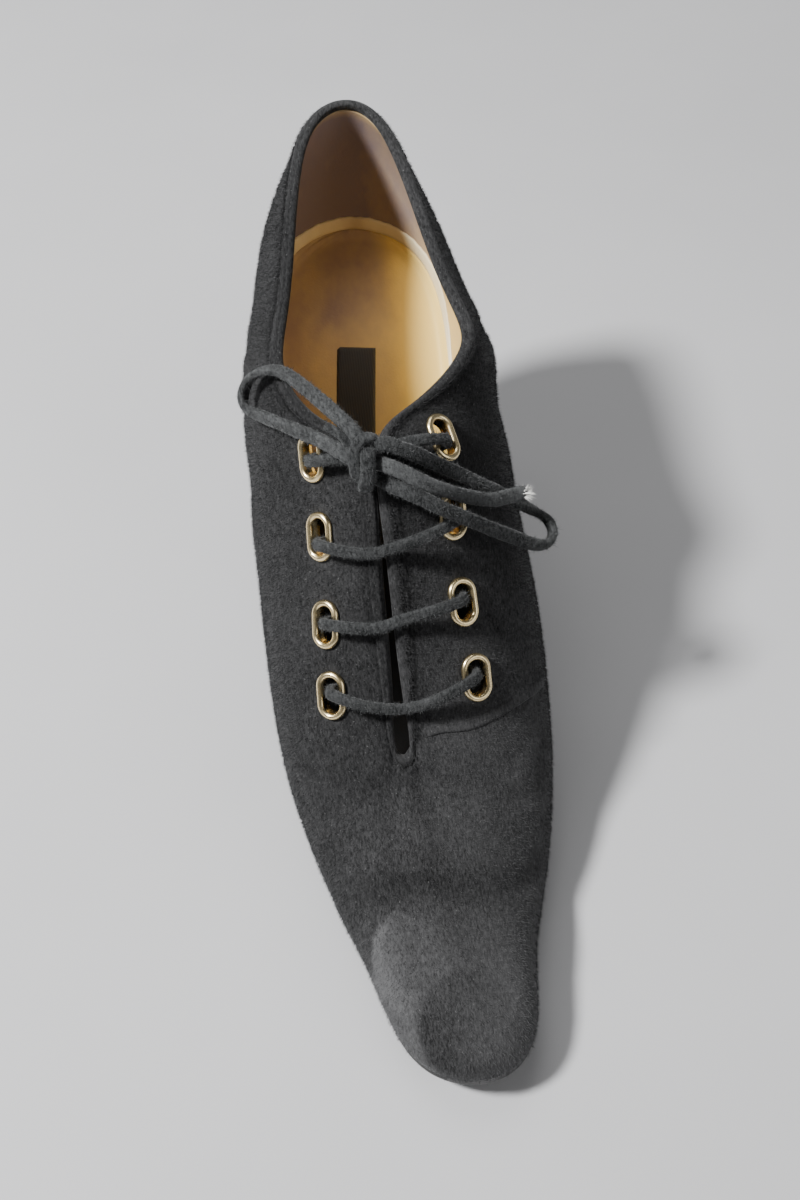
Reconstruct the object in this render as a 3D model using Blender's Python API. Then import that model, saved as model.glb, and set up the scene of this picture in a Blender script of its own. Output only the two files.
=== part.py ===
"""A right lace-up court shoe with a high heel, built piece by piece on its last.

The toe points to -Y, the heel to +Y, the inner side of the foot to +X, and the floor is Z = 0.
The upper hangs on ribs: each rib is one curve from the sole's edge (the feather line) up to the
topline, which runs round the collar and down both sides of the lace slit.
"""
import math
from collections import namedtuple

import bmesh
import bpy
import numpy as np
from mathutils import Matrix, Vector

NAME = "high_heel_shoe"
MM = 0.001

# Driving sizes
LAST_LENGTH = 243.5 * MM
SOLE_BALL_WIDTH = 68.0 * MM
INSTEP_HEIGHT = 85.5 * MM
HEEL_HEIGHT = 70.0 * MM
WALL = 2.0 * MM
GAP = 0.3 * MM

# How finely the curves are sampled, and the angle at which an edge counts as sharp
ROW_STEP = 0.02
SHARE_STEP = 0.001
FINE_SAMPLES = 401
SHARP_ANGLE = 40.0

# Ribs, in millimetres and degrees on a last of the sizes above. Out is across the shoe, along
# runs from the toe, top_up is above the sole, and lean tilts the foot of the rib outwards. At
# its top end heading turns from the toe (0) past the side (90) to the back (180), and slope is
# the fall on the way out. Each reach is the length of the curve's handle at that end.
Rib = namedtuple(
    "Rib",
    "name feather_out feather_along top_out top_along top_up lean low_reach heading slope high_reach",
)
TOE_RIB = Rib("toe", 2.5, 0.0, -5.0, 73.2, 36.2, 5, 16, 0, 25.5, 42)
LATERAL_RIBS = (
    Rib("toe corner", -8.7, 5.0, -6.4, 74.2, 36.6, 8, 15, 8, 29, 38),
    Rib("toe side", -18.5, 28.0, -7.0, 77.0, 39.0, 14, 17, 28, 33, 26),
    Rib("joint front", -28.0, 58.0, -6.7, 83.0, 46.2, 17, 21, 58, 38, 19),
    Rib("ball", -34.0, 90.0, -6.3, 94.0, 59.4, 20, 28, 82, 17, 20),
    Rib("waist", -33.5, 122.0, -6.05, 108.0, 73.4, 26, 35, 92, 19, 20),
    Rib("flap", -31.5, 146.0, -6.0, 121.0, 84.0, 29, 40, 95, 26, 20),
    Rib("throat", -30.5, 156.0, -8.8, 126.5, 85.5, 30, 40, 95, 33, 20),
    Rib("collar front", -29.5, 168.0, -17.5, 135.5, 80.0, 30, 34, 95, 43, 20),
    Rib("collar side", -28.0, 188.0, -25.9, 155.0, 66.6, 32, 25, 96, 50, 18),
    Rib("quarter", -26.5, 212.0, -21.2, 187.0, 49.4, 29, 19, 100, 54, 17),
    Rib("heel side", -20.5, 232.0, -13.1, 229.0, 46.7, 25, 17, 115, 56, 16),
)
BACK_RIB = Rib("back", 0.0, 243.5, 1.4, 241.1, 48.8, 12, 18, 180, 76, 17)
MEDIAL_RIBS = (
    Rib("toe corner", 13.5, 2.8, -3.6, 74.2, 36.6, 8, 15, 8, 29, 38),
    Rib("toe side", 22.0, 28.0, -3.0, 77.0, 39.2, 12, 17, 28, 32, 28),
    Rib("joint front", 30.5, 58.0, -3.3, 83.0, 46.6, 16, 21, 58, 33, 22),
    Rib("ball", 34.0, 88.0, -3.7, 94.0, 60.4, 23, 30, 82, 4, 24),
    Rib("waist", 29.5, 120.0, -3.95, 108.0, 74.8, 33, 43, 92, -6, 25),
    Rib("flap", 24.0, 146.0, -4.0, 121.0, 85.5, 36, 46, 95, -8, 25),
    Rib("throat", 23.0, 156.0, -1.7, 128.5, 85.5, 36, 45, 95, 4, 24),
    Rib("collar front", 22.5, 168.0, 8.0, 138.0, 79.2, 35, 36, 92, 20, 22),
    Rib("collar side", 23.0, 188.0, 22.8, 156.0, 66.4, 33, 26, 95, 44, 16),
    Rib("quarter", 23.5, 212.0, 19.3, 187.0, 49.4, 25, 19, 100, 56, 16),
    Rib("heel side", 17.5, 232.0, 11.9, 228.0, 46.5, 18, 17, 115, 60, 16),
)
BALL_ROW = 3
THROAT_ROW = 6
SIDE_ROWS = len(LATERAL_RIBS) + 1
LOOP_ROWS = 2 * SIDE_ROWS

# Underside of the outsole along the shoe, in millimetres; what falls below the floor is flat on it
SoleRow = namedtuple("SoleRow", "along rise")
SOLE_ROWS = (
    SoleRow(-2.0, 6.6),
    SoleRow(15.0, 3.6),
    SoleRow(35.0, 1.0),
    SoleRow(55.0, -0.2),
    SoleRow(75.0, -0.3),
    SoleRow(95.0, 0.4),
    SoleRow(112.0, 4.0),
    SoleRow(130.0, 12.5),
    SoleRow(150.0, 27.0),
    SoleRow(170.0, 42.5),
    SoleRow(190.0, 55.0),
    SoleRow(210.0, 63.0),
    SoleRow(230.0, 67.5),
    SoleRow(250.0, 70.0),
)

# Upper: rows of its wall, and the rolled binding along its topline
RIBS_PER_ROW = (6, 6, 4, 4, 4, 4, 3, 3, 4, 4, 5, 6)
OUTER_ROWS = 9
INNER_ROWS = 8
BINDING_WIDTH = 3.2 * MM
BINDING_RISE = 0.8 * MM
BINDING_ROWS = 4
RIM_NOSE = 0.5 * MM

# Outsole and insole
OUTSOLE_THICKNESS = 3.5 * MM
OUTSOLE_EDGE = 1.0 * MM
OUTSOLE_CHAMFER = 0.8 * MM
TREAD_MARGIN = 1.2 * MM
WAIST_MARGIN = 0.0 * MM
TREAD_END_ROW = 4.0
WAIST_START_ROW = 6.0
INSOLE_THICKNESS = 2.6 * MM
INSOLE_INSET = WALL + 2.0 * GAP
END_ROW = 0.15

# Heel and its tip
HEEL_BREAST_ROW = 9.05
HEEL_POINTS = 15
HEEL_LEVELS = 9
HEEL_INSET = 0.4 * MM
HEEL_WAIST_POWER = 1.9
TIP_HALF_WIDTH = 12.0 * MM
TIP_BREAST_ALONG = 213.0 * MM
TIP_BACK_ALONG = 238.0 * MM
TIP_SQUARENESS = 2.6
TIP_END_ANGLE = 88.0
TIP_HEIGHT = 5.5 * MM
TIP_CHAMFER = 0.5 * MM

# Eyelets: row is the place along the ribs, set_back the way down from the slit's edge
SLIT_TOP_ROW = 6.0
Eyelet = namedtuple("Eyelet", "side number row set_back")
EYELETS = (
    Eyelet("lateral", 1, 7.02, 13.7),
    Eyelet("lateral", 2, 5.42, 17.1),
    Eyelet("lateral", 3, 4.48, 16.9),
    Eyelet("lateral", 4, 3.78, 18.7),
    Eyelet("medial", 1, 6.50, 17.3),
    Eyelet("medial", 2, 5.30, 18.2),
    Eyelet("medial", 3, 4.42, 18.3),
    Eyelet("medial", 4, 3.76, 21.5),
)
EYELET_HOLE_LENGTH = 9.1 * MM
EYELET_HOLE_WIDTH = 4.5 * MM
EYELET_BARREL = 0.5 * MM
EYELET_POINTS = 16
HOLE_DEPTH = 6.0 * MM
HOLE_HEIGHT = 4.0 * MM
SEAT_ROWS = 0.9
SEAT_SHARE = 0.16
SEAT_SAMPLES = 31
SEAT_REACH = 0.62
# Flange and barrel in section: how far out from the hole, and how high above the leather
EyeletRow = namedtuple("EyeletRow", "out up")
EYELET_SECTION = (
    EyeletRow(0.0, -2.4),
    EyeletRow(0.0, 0.9),
    EyeletRow(0.6, 1.45),
    EyeletRow(1.35, 1.35),
    EyeletRow(1.8, 0.7),
    EyeletRow(1.65, 0.25),
    EyeletRow(0.5, 0.25),
    EyeletRow(0.5, -2.4),
)

# Lace: bars across the slit at its lower three pairs of eyelets, and the rows where they cross it
LACE_RADIUS = 1.5 * MM
LACE_SAMPLE = 2.0
BarRow = namedtuple("BarRow", "number crossing_row")
BARS = (BarRow(2, 4.99), BarRow(3, 4.13), BarRow(4, 3.0))
BAR_END_DEPTH = 1.2 * MM
BAR_RISE_DEPTH = 0.9 * MM
BAR_LIFT = 4.2 * MM
BAR_CROSSING_LIFT = 3.2 * MM
BAR_TURN = 3.4 * MM

# The bow's knot, and the free routes of the lace, in millimetres from the toe at floor level
KNOT_CENTRE = (-6.8, 118.8, 99.7)
KNOT_HALF_SIZES = (3.5, 6.5, 3.6)
KNOT_PITCH = 49.5
KNOT_SEGMENTS = 16
KNOT_RINGS = 10
LOOP_LATERAL = (
    (-9.2, 124.2, 105.6), (-12.2, 128.8, 106.4), (-15.4, 133.8, 106.6), (-18.8, 139.2, 106.4),
    (-22.0, 144.4, 105.8), (-25.2, 149.2, 104.6), (-28.6, 152.8, 102.4), (-31.8, 155.2, 99.4),
    (-34.4, 156.0, 95.8), (-35.8, 154.6, 92.8), (-35.6, 151.8, 91.6), (-33.4, 148.4, 92.2),
    (-30.2, 143.9, 94.3), (-26.6, 138.4, 97.0), (-22.6, 133.4, 98.9), (-18.4, 128.7, 100.5),
    (-14.4, 123.8, 101.6), (-11.4, 120.1, 101.9),
)
LOOP_MEDIAL = (
    (-2.6, 115.1, 96.6), (0.5, 112.7, 96.3), (4.5, 111.1, 94.9), (8.5, 109.8, 92.6),
    (12.8, 109.2, 89.7), (17.4, 109.5, 85.9), (22.3, 110.2, 81.4), (27.2, 111.0, 77.1),
    (31.8, 111.3, 73.5), (35.6, 111.8, 71.1), (38.4, 113.5, 70.1), (39.6, 116.4, 70.6),
    (38.7, 119.1, 72.2), (36.0, 120.3, 74.2), (32.6, 120.8, 76.8), (28.6, 120.9, 80.2), (24.4, 120.7, 84.2),
    (19.5, 120.4, 88.4), (14.5, 120.0, 92.7), (9.4, 119.3, 97.4), (4.4, 118.8, 101.9),
    (0.1, 119.3, 104.3), (-2.4, 120.0, 104.9),
)
END_MEDIAL = (
    (-2.6, 116.8, 100.9), (0.0, 115.4, 100.4), (2.8, 114.2, 99.2), (6.0, 113.2, 97.4),
    (9.6, 112.8, 95.2), (13.0, 113.2, 92.8), (16.3, 114.0, 90.2), (20.0, 115.0, 87.6),
    (23.9, 116.0, 85.6), (27.2, 117.6, 84.2), (30.0, 118.9, 83.4), (32.8, 119.4, 82.8),
)
END_LATERAL = ((-10.7, 122.9, 103.4), (-13.2, 126.0, 104.2), (-16.0, 129.2, 104.0))
END_LATERAL_RADIUS = 1.1 * MM
STRAND_LATERAL_END = (-9.9, 121.7, 98.5)
STRAND_MEDIAL_END = (-3.2, 121.7, 100.5)

# Finishes: colour, roughness and metallic share
SUEDE = ("black_suede", (0.030, 0.030, 0.033), 0.95, 0.0)
LEATHER = ("black_sole_leather", (0.020, 0.019, 0.018), 0.60, 0.0)
SOCK = ("tan_sock_leather", (0.62, 0.45, 0.24), 0.42, 0.0)
RUBBER = ("black_rubber", (0.015, 0.015, 0.015), 0.75, 0.0)
GOLD = ("pale_gold", (0.86, 0.72, 0.44), 0.22, 1.0)
LACE = ("charcoal_suede_lace", (0.085, 0.090, 0.100), 0.92, 0.0)

SCALE_ALONG = LAST_LENGTH / BACK_RIB.feather_along
SCALE_OUT = SOLE_BALL_WIDTH / (MEDIAL_RIBS[BALL_ROW].feather_out - LATERAL_RIBS[BALL_ROW].feather_out)
SCALE_UP = INSTEP_HEIGHT / LATERAL_RIBS[THROAT_ROW].top_up
SCALE_RISE = HEEL_HEIGHT / SOLE_ROWS[-1].rise
UPWARD = np.array((0.0, 0.0, 1.0))


def natural_spline(places, values, wanted):
    """Values at the wanted places of a smooth curve that ends straight."""
    count = len(places)
    step = np.diff(places)
    matrix = np.eye(count)
    right = np.zeros(count)
    for i in range(1, count - 1):
        matrix[i, i - 1:i + 2] = step[i - 1], 2 * (step[i - 1] + step[i]), step[i]
        right[i] = 6 * ((values[i + 1] - values[i]) / step[i] - (values[i] - values[i - 1]) / step[i - 1])
    bend = np.linalg.solve(matrix, right)
    i = np.clip(np.searchsorted(places, wanted) - 1, 0, count - 2)
    before = (places[i + 1] - wanted) / step[i]
    after = (wanted - places[i]) / step[i]
    curve = (before**3 - before) * bend[i] + (after**3 - after) * bend[i + 1]
    return before * values[i] + after * values[i + 1] + curve * step[i]**2 / 6


def closed_spline(places, rows, wanted):
    """Rows at the wanted places of a smooth curve that closes; the last place is the first row again."""
    count = len(rows)
    step = np.diff(places)
    matrix = np.zeros((count, count))
    right = np.zeros_like(rows)
    for i in range(count):
        last, following = (i - 1) % count, (i + 1) % count
        matrix[i, last] += step[last]
        matrix[i, i] += 2 * (step[last] + step[i])
        matrix[i, following] += step[i]
        right[i] = 6 * ((rows[following] - rows[i]) / step[i] - (rows[i] - rows[last]) / step[last])
    bend = np.linalg.solve(matrix, right)
    wanted = np.mod(wanted, places[-1])
    i = np.clip(np.searchsorted(places, wanted, side="right") - 1, 0, count - 1)
    following = (i + 1) % count
    before = ((places[i + 1] - wanted) / step[i])[:, None]
    after = ((wanted - places[i]) / step[i])[:, None]
    curve = (before**3 - before) * bend[i] + (after**3 - after) * bend[following]
    return before * rows[i] + after * rows[following] + curve * step[i][:, None]**2 / 6


def unit(vectors):
    """The vectors at length one."""
    return vectors / np.linalg.norm(vectors, axis=-1, keepdims=True)


def sole_under(along):
    """Height of the outsole's underside at places along the shoe."""
    places = np.array([row.along for row in SOLE_ROWS]) * SCALE_ALONG
    rises = np.array([row.rise for row in SOLE_ROWS]) * SCALE_RISE
    return np.maximum(natural_spline(places, rises, along), 0.0)


def sole_top(along):
    """Height of the outsole's upper side at places along the shoe."""
    return sole_under(along) + OUTSOLE_THICKNESS


def rib_table():
    """The ribs in order round the shoe from the toe by the lateral side, and their places.

    A row holds the feather's and the topline's places, the two reaches, the lean and the slope,
    and the heading as a flat direction.
    """
    rows = []
    for side, ribs in ((-1.0, (TOE_RIB, *LATERAL_RIBS)), (1.0, (BACK_RIB, *reversed(MEDIAL_RIBS)))):
        for rib in ribs:
            heading = math.radians(rib.heading)
            rows.append((
                rib.feather_out * SCALE_OUT,
                rib.feather_along * SCALE_ALONG,
                rib.top_out * SCALE_OUT,
                rib.top_along * SCALE_ALONG,
                rib.top_up * SCALE_UP,
                rib.low_reach * SCALE_UP,
                rib.high_reach * SCALE_UP,
                math.radians(rib.lean),
                math.radians(rib.slope),
                side * math.sin(heading),
                -math.cos(heading),
            ))
    rows = np.array(rows)
    edge = np.vstack((rows[:, :2], rows[:1, :2]))
    lengths = np.linalg.norm(np.diff(edge, axis=0), axis=1)
    return rows, np.concatenate(((0.0,), np.cumsum(lengths)))


RIB_ROWS, RIB_PLACES = rib_table()


def ribs_at(row_places):
    """Rib values at row places: 0 is the toe, SIDE_ROWS the back, and the medial side follows."""
    row_places = np.mod(np.asarray(row_places, dtype=float), LOOP_ROWS)
    wanted = np.interp(row_places, np.arange(LOOP_ROWS + 1), RIB_PLACES)
    return closed_spline(RIB_PLACES, RIB_ROWS, wanted)


def side_place(side, row):
    """Row place on the loop of a row that is counted from the toe on one side."""
    return row if side == "lateral" else LOOP_ROWS - row


def outline_normals(row_places):
    """Flat outward directions of the feather line."""
    ahead = ribs_at(np.asarray(row_places) + ROW_STEP)[:, :2]
    behind = ribs_at(np.asarray(row_places) - ROW_STEP)[:, :2]
    run = unit(ahead - behind)
    return np.column_stack((-run[:, 1], run[:, 0], np.zeros(len(run))))


def rib_handles(row_places):
    """The four points of each rib's curve: feather, low handle, high handle and topline."""
    values = ribs_at(row_places)
    feather = np.column_stack((values[:, :2], sole_top(values[:, 1]) + GAP))
    top = np.column_stack((values[:, 2:4], sole_top(values[:, 3]) + GAP + values[:, 4]))
    low_reach, high_reach, lean, slope = (values[:, i:i + 1] for i in (5, 6, 7, 8))
    normal = outline_normals(row_places)
    fall = unit(np.column_stack((values[:, 9:], np.zeros(len(values)))))
    low = feather + low_reach * (normal * np.sin(lean) + UPWARD * np.cos(lean))
    high = top + high_reach * (fall * np.cos(slope) - UPWARD * np.sin(slope))
    return feather, low, high, top


def surface(row_places, share):
    """Points of the upper's outer side; share is 0 at the feather line and 1 at the topline."""
    feather, low, high, top = (points[:, None, :] for points in rib_handles(row_places))
    t = share[..., None]
    rest = 1.0 - t
    return rest**3 * feather + 3 * rest**2 * t * low + 3 * rest * t**2 * high + t**3 * top


def surface_frame(row_places, share):
    """Points, outward normals and directions up the ribs of the upper's outer side."""
    row_places = np.asarray(row_places, dtype=float)
    points = surface(row_places, share)
    ahead = surface(row_places + ROW_STEP, share) - surface(row_places - ROW_STEP, share)
    climb = surface(row_places, share + SHARE_STEP) - surface(row_places, share - SHARE_STEP)
    return points, unit(np.cross(climb, ahead)), unit(climb)


def share_below_top(row_places, distances):
    """Shares of the ribs that lie the given distances below the topline."""
    fine = np.tile(np.linspace(1.0, 0.0, FINE_SAMPLES), (len(row_places), 1))
    points = surface(row_places, fine)
    steps = np.linalg.norm(np.diff(points, axis=1), axis=2)
    travel = np.concatenate((np.zeros((len(row_places), 1)), np.cumsum(steps, axis=1)), axis=1)
    return np.array([np.interp(distances[i], travel[i], fine[i]) for i in range(len(row_places))])


def lateral_places():
    """Row places of the ribs from the toe to just before the back."""
    return np.concatenate([row + np.arange(ribs) / ribs for row, ribs in enumerate(RIBS_PER_ROW)])


def upper_rings():
    """Closed rings of the upper's wall: up the outside, over the rim and down the inside."""
    lateral = lateral_places()
    places = np.concatenate((lateral, (SIDE_ROWS,), LOOP_ROWS - lateral[:0:-1]))
    across = np.linspace(math.pi, 0.0, BINDING_ROWS + 1)
    distances = BINDING_WIDTH * (1.0 - np.cos(across)) / 2.0
    binding = share_below_top(places, np.tile(distances, (len(places), 1)))
    wall = binding[:, :1] * np.linspace(0.0, 1.0, OUTER_ROWS + 1)[:-1]
    points, normals, _ = surface_frame(places, np.hstack((wall, binding)))
    rise = np.concatenate((np.zeros(OUTER_ROWS), BINDING_RISE * np.sin(across)))
    outer = points + normals * rise[None, :, None]
    inner_share = np.tile(np.linspace(1.0, 0.0, INNER_ROWS + 1), (len(places), 1))
    points, normals, climbs = surface_frame(places, inner_share)
    inner = points - normals * WALL
    inner[:, -1, 2] = sole_top(inner[:, -1, 1]) + GAP
    nose = points[:, :1] - normals[:, :1] * WALL / 2.0 + climbs[:, :1] * RIM_NOSE
    return np.concatenate((outer, nose, inner), axis=1).transpose(1, 0, 2)


def outline(rows, offsets):
    """Loop of the feather line, moved out by the offsets: lateral towards the heel, medial back."""
    loops = []
    for side in ("lateral", "medial"):
        places = side_place(side, rows)
        values = ribs_at(places)[:, :2] + outline_normals(places)[:, :2] * offsets[:, None]
        loops.append(values)
    return np.vstack((loops[0], loops[1][::-1]))


def raised(loop, height_of, offset):
    """The flat loop lifted onto a height along the shoe, plus an offset."""
    return np.column_stack((loop, height_of(loop[:, 1]) + offset))


UPPER_RINGS = upper_rings()
OUTLINE_ROWS = np.concatenate(((END_ROW,), lateral_places()[2:-1], (SIDE_ROWS - END_ROW,)))
SOLE_MARGINS = np.interp(OUTLINE_ROWS, (TREAD_END_ROW, WAIST_START_ROW), (TREAD_MARGIN, WAIST_MARGIN))


def frame_origin():
    """Middle of the shoe's length and width at floor level."""
    tread = outline(OUTLINE_ROWS, SOLE_MARGINS)
    flat = np.vstack((UPPER_RINGS[..., :2].reshape(-1, 2), tread))
    return np.append((flat.min(axis=0) + flat.max(axis=0)) / 2.0, 0.0)


ORIGIN = frame_origin()


def route_points(route):
    """A hand-set route in the part's frame, in metres."""
    return np.array(route) * np.array((SCALE_OUT, SCALE_ALONG, SCALE_UP)) - ORIGIN


def clear_scene():
    """Remove every object that the file opens with."""
    for item in list(bpy.data.objects):
        bpy.data.objects.remove(item, do_unlink=True)


def new_collection(name):
    """A collection under the scene's own."""
    collection = bpy.data.collections.new(name)
    bpy.context.scene.collection.children.link(collection)
    return collection


def finish(name, colour, roughness, metallic):
    """A material of one colour."""
    material = bpy.data.materials.new(name)
    material.use_nodes = True
    shader = material.node_tree.nodes["Principled BSDF"]
    shader.inputs["Base Color"].default_value = (*colour, 1.0)
    shader.inputs["Roughness"].default_value = roughness
    shader.inputs["Metallic"].default_value = metallic
    material.diffuse_color = (*colour, 1.0)
    return material


def mesh_of(name, points, faces):
    """A smooth mesh from points in the part's frame."""
    mesh = bpy.data.meshes.new(name)
    mesh.from_pydata([tuple(point) for point in points], [], faces)
    mesh.validate()
    mesh.shade_smooth()
    mesh.set_sharp_from_angle(angle=math.radians(SHARP_ANGLE))
    return mesh


def strip_faces(ring, following, count):
    """Faces between two rings of points, closed around."""
    faces = []
    for j in range(count):
        after = (j + 1) % count
        faces.append((ring * count + j, ring * count + after, following * count + after, following * count + j))
    return faces


def tube_mesh(name, rings):
    """A body whose rings close onto the first one again."""
    layers, count, _ = rings.shape
    faces = []
    for ring in range(layers):
        faces += strip_faces(ring, (ring + 1) % layers, count)
    return mesh_of(name, rings.reshape(-1, 3), faces)


def ladder_mesh(name, rings):
    """A body of stacked rings whose two ends are closed by rungs from side to side."""
    layers, count, _ = rings.shape
    faces = []
    for ring in range(layers - 1):
        faces += strip_faces(ring, ring + 1, count)
    last = (layers - 1) * count
    for j in range(count // 2 - 1):
        rung = (j, count - 1 - j, count - 2 - j, j + 1)
        faces.append(rung)
        faces.append(tuple(last + k for k in reversed(rung)))
    return mesh_of(name, rings.reshape(-1, 3), faces)


def face_outwards(mesh):
    """Turn the faces of a closed mesh to the outside."""
    working = bmesh.new()
    working.from_mesh(mesh)
    bmesh.ops.recalc_face_normals(working, faces=working.faces)
    working.to_mesh(mesh)
    working.free()


class Shoe:
    """The collections, the common parent and the finishes of the pieces."""

    def __init__(self):
        self.parts = new_collection(NAME)
        self.cutters = new_collection(NAME + "_cutters")
        self.frame = bpy.data.objects.new(NAME + "_frame", None)
        self.parts.objects.link(self.frame)
        finishes = (SUEDE, LEATHER, SOCK, RUBBER, GOLD, LACE)
        self.materials = {values[0]: finish(*values) for values in finishes}

    def add(self, name, data, values):
        """A piece of the shoe with its finish."""
        piece = bpy.data.objects.new(name, data)
        piece.parent = self.frame
        self.parts.objects.link(piece)
        if not data.materials:
            data.materials.append(self.materials[values[0]])
        return piece

    def add_mesh(self, name, mesh, values):
        """A closed mesh as a piece."""
        face_outwards(mesh)
        return self.add(name, mesh, values)

    def add_cutter(self, name, mesh, place, target):
        """A hidden body, and the cut that it makes in a piece."""
        face_outwards(mesh)
        cutter = bpy.data.objects.new(name, mesh)
        cutter.matrix_world = place
        cutter.hide_render = True
        cutter.display_type = "WIRE"
        self.cutters.objects.link(cutter)
        cut = target.modifiers.new(name, "BOOLEAN")
        cut.operation = "DIFFERENCE"
        cut.solver = "EXACT"
        cut.object = cutter

    def add_lace(self, name, points, radius):
        """A round length of lace along a smooth curve through the points."""
        curve = bpy.data.curves.new(name, "CURVE")
        curve.dimensions = "3D"
        curve.bevel_depth = radius
        curve.bevel_resolution = 2
        curve.use_fill_caps = True
        path = smooth_path(points, LACE_SAMPLE * 2.0 * radius)
        spline = curve.splines.new("POLY")
        spline.points.add(len(path) - 1)
        for knot, place in zip(spline.points, path):
            knot.co = (*place, 1.0)
        spline.use_smooth = True
        return self.add(name, curve, LACE)


def smooth_path(points, spacing):
    """Points about the given spacing apart on a smooth curve through the given ones."""
    points = np.asarray(points)
    places = np.concatenate(((0.0,), np.cumsum(np.linalg.norm(np.diff(points, axis=0), axis=1))))
    count = max(4, math.ceil(places[-1] / spacing) + 1)
    wanted = np.linspace(0.0, places[-1], count)
    return np.column_stack([natural_spline(places, points[:, axis], wanted) for axis in range(3)])


def build_upper(shoe):
    """The suede upper: one hollow wall, open at the collar, at the slit and underneath."""
    return shoe.add_mesh("upper", tube_mesh("upper", UPPER_RINGS - ORIGIN), SUEDE)


def build_outsole(shoe):
    """The outsole with its toe spring, flat tread, arch and heel seat, its lower edge chamfered."""
    outer = outline(OUTLINE_ROWS, SOLE_MARGINS)
    lower = outline(OUTLINE_ROWS, SOLE_MARGINS - OUTSOLE_CHAMFER)
    rings = np.stack((
        raised(lower, sole_under, 0.0),
        raised(outer, sole_under, OUTSOLE_EDGE),
        raised(outer, sole_top, 0.0),
    ))
    shoe.add_mesh("outsole", ladder_mesh("outsole", rings - ORIGIN), LEATHER)


def build_insole(shoe):
    """The sock-covered insole inside the upper."""
    loop = outline(OUTLINE_ROWS, np.full(len(OUTLINE_ROWS), -INSOLE_INSET))
    rings = np.stack((raised(loop, sole_top, GAP), raised(loop, sole_top, GAP + INSOLE_THICKNESS)))
    shoe.add_mesh("insole", ladder_mesh("insole", rings - ORIGIN), SOCK)


def tip_loop(inset):
    """Outline of the heel tip: straight at the breast and round at the back."""
    angles = np.linspace(0.0, math.radians(TIP_END_ANGLE), HEEL_POINTS)
    power = 2.0 / TIP_SQUARENESS
    out = (TIP_HALF_WIDTH - inset) * np.cos(angles)**power
    depth = TIP_BACK_ALONG - TIP_BREAST_ALONG - 2.0 * inset
    along = TIP_BREAST_ALONG + inset + depth * np.sin(angles)**power
    lateral = np.column_stack((-out, along))
    medial = np.column_stack((out, along))
    return np.vstack((lateral, medial[::-1]))


def build_heel(shoe):
    """The covered heel, from the sole's seat down to the tip, waisted on the way."""
    rows = np.linspace(HEEL_BREAST_ROW, SIDE_ROWS - END_ROW, HEEL_POINTS)
    seat = raised(outline(rows, np.full(HEEL_POINTS, -HEEL_INSET - OUTSOLE_CHAMFER)), sole_under, -GAP)
    foot_loop = tip_loop(0.0)
    foot = np.column_stack((foot_loop, np.full(len(foot_loop), TIP_HEIGHT + GAP)))
    rings = []
    for share in np.linspace(0.0, 1.0, HEEL_LEVELS):
        flat_share = share**HEEL_WAIST_POWER
        mix = np.array((flat_share, flat_share, share))
        rings.append(foot + (seat - foot) * mix)
    shoe.add_mesh("heel", ladder_mesh("heel", np.stack(rings) - ORIGIN), SUEDE)


def build_heel_tip(shoe):
    """The rubber tip under the heel, flat on the floor."""
    rings = []
    for inset, height in ((TIP_CHAMFER, 0.0), (0.0, TIP_CHAMFER), (0.0, TIP_HEIGHT)):
        loop = tip_loop(inset)
        rings.append(np.column_stack((loop, np.full(len(loop), height))))
    shoe.add_mesh("heel_tip", ladder_mesh("heel_tip", np.stack(rings) - ORIGIN), RUBBER)


def stadium(offset):
    """Outline of an eyelet's hole, moved out by the offset."""
    radius = EYELET_HOLE_WIDTH / 2.0
    straight = (EYELET_HOLE_LENGTH - EYELET_HOLE_WIDTH) / 2.0
    angles = (np.arange(EYELET_POINTS) + 0.5) * math.tau / EYELET_POINTS
    out = (radius + offset) * np.cos(angles)
    along = (radius + offset) * np.sin(angles)
    return np.column_stack((out, along + straight * np.sign(along)))


def leather_under(eyelet):
    """Middle and points of the leather under an eyelet's flange, and the direction outwards."""
    place = np.array((side_place(eyelet.side, eyelet.row),))
    share = share_below_top(place, np.array(((eyelet.set_back * SCALE_UP,),)))
    points, normals, _ = surface_frame(place, share)
    rows = place[0] + np.linspace(-SEAT_ROWS, SEAT_ROWS, SEAT_SAMPLES)
    shares = share[0] + np.linspace(-SEAT_SHARE, SEAT_SHARE, SEAT_SAMPLES)
    patch = surface(rows, np.tile(shares, (SEAT_SAMPLES, 1))).reshape(-1, 3)
    near = np.linalg.norm(patch - points[0, 0], axis=1) < EYELET_HOLE_LENGTH * SEAT_REACH
    return points[0, 0], patch[near], normals[0, 0]


def slit_direction():
    """Direction of the lace slit, from its end at the toe rib up to the middle of the flaps."""
    places = np.array((0.0, side_place("lateral", SLIT_TOP_ROW), side_place("medial", SLIT_TOP_ROW)))
    end, lateral, medial = surface(places, np.ones((3, 1)))[:, 0]
    return unit((lateral + medial) / 2.0 - end)


def eyelet_place(eyelet):
    """Matrix of an eyelet: Z out of the leather, Y along the slit, seated on its highest point."""
    centre, patch, outward = leather_under(eyelet)
    middle = patch.mean(axis=0)
    normal = np.linalg.svd(patch - middle)[2][2]
    normal = normal * math.copysign(1.0, normal @ outward)
    slit = slit_direction()
    along = unit(slit - normal * (slit @ normal))
    seat = centre + normal * ((patch - centre) @ normal).max()
    turn = Matrix((np.cross(along, normal), along, normal)).transposed()
    return Matrix.Translation(Vector(seat - ORIGIN)) @ turn.to_4x4()


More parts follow.
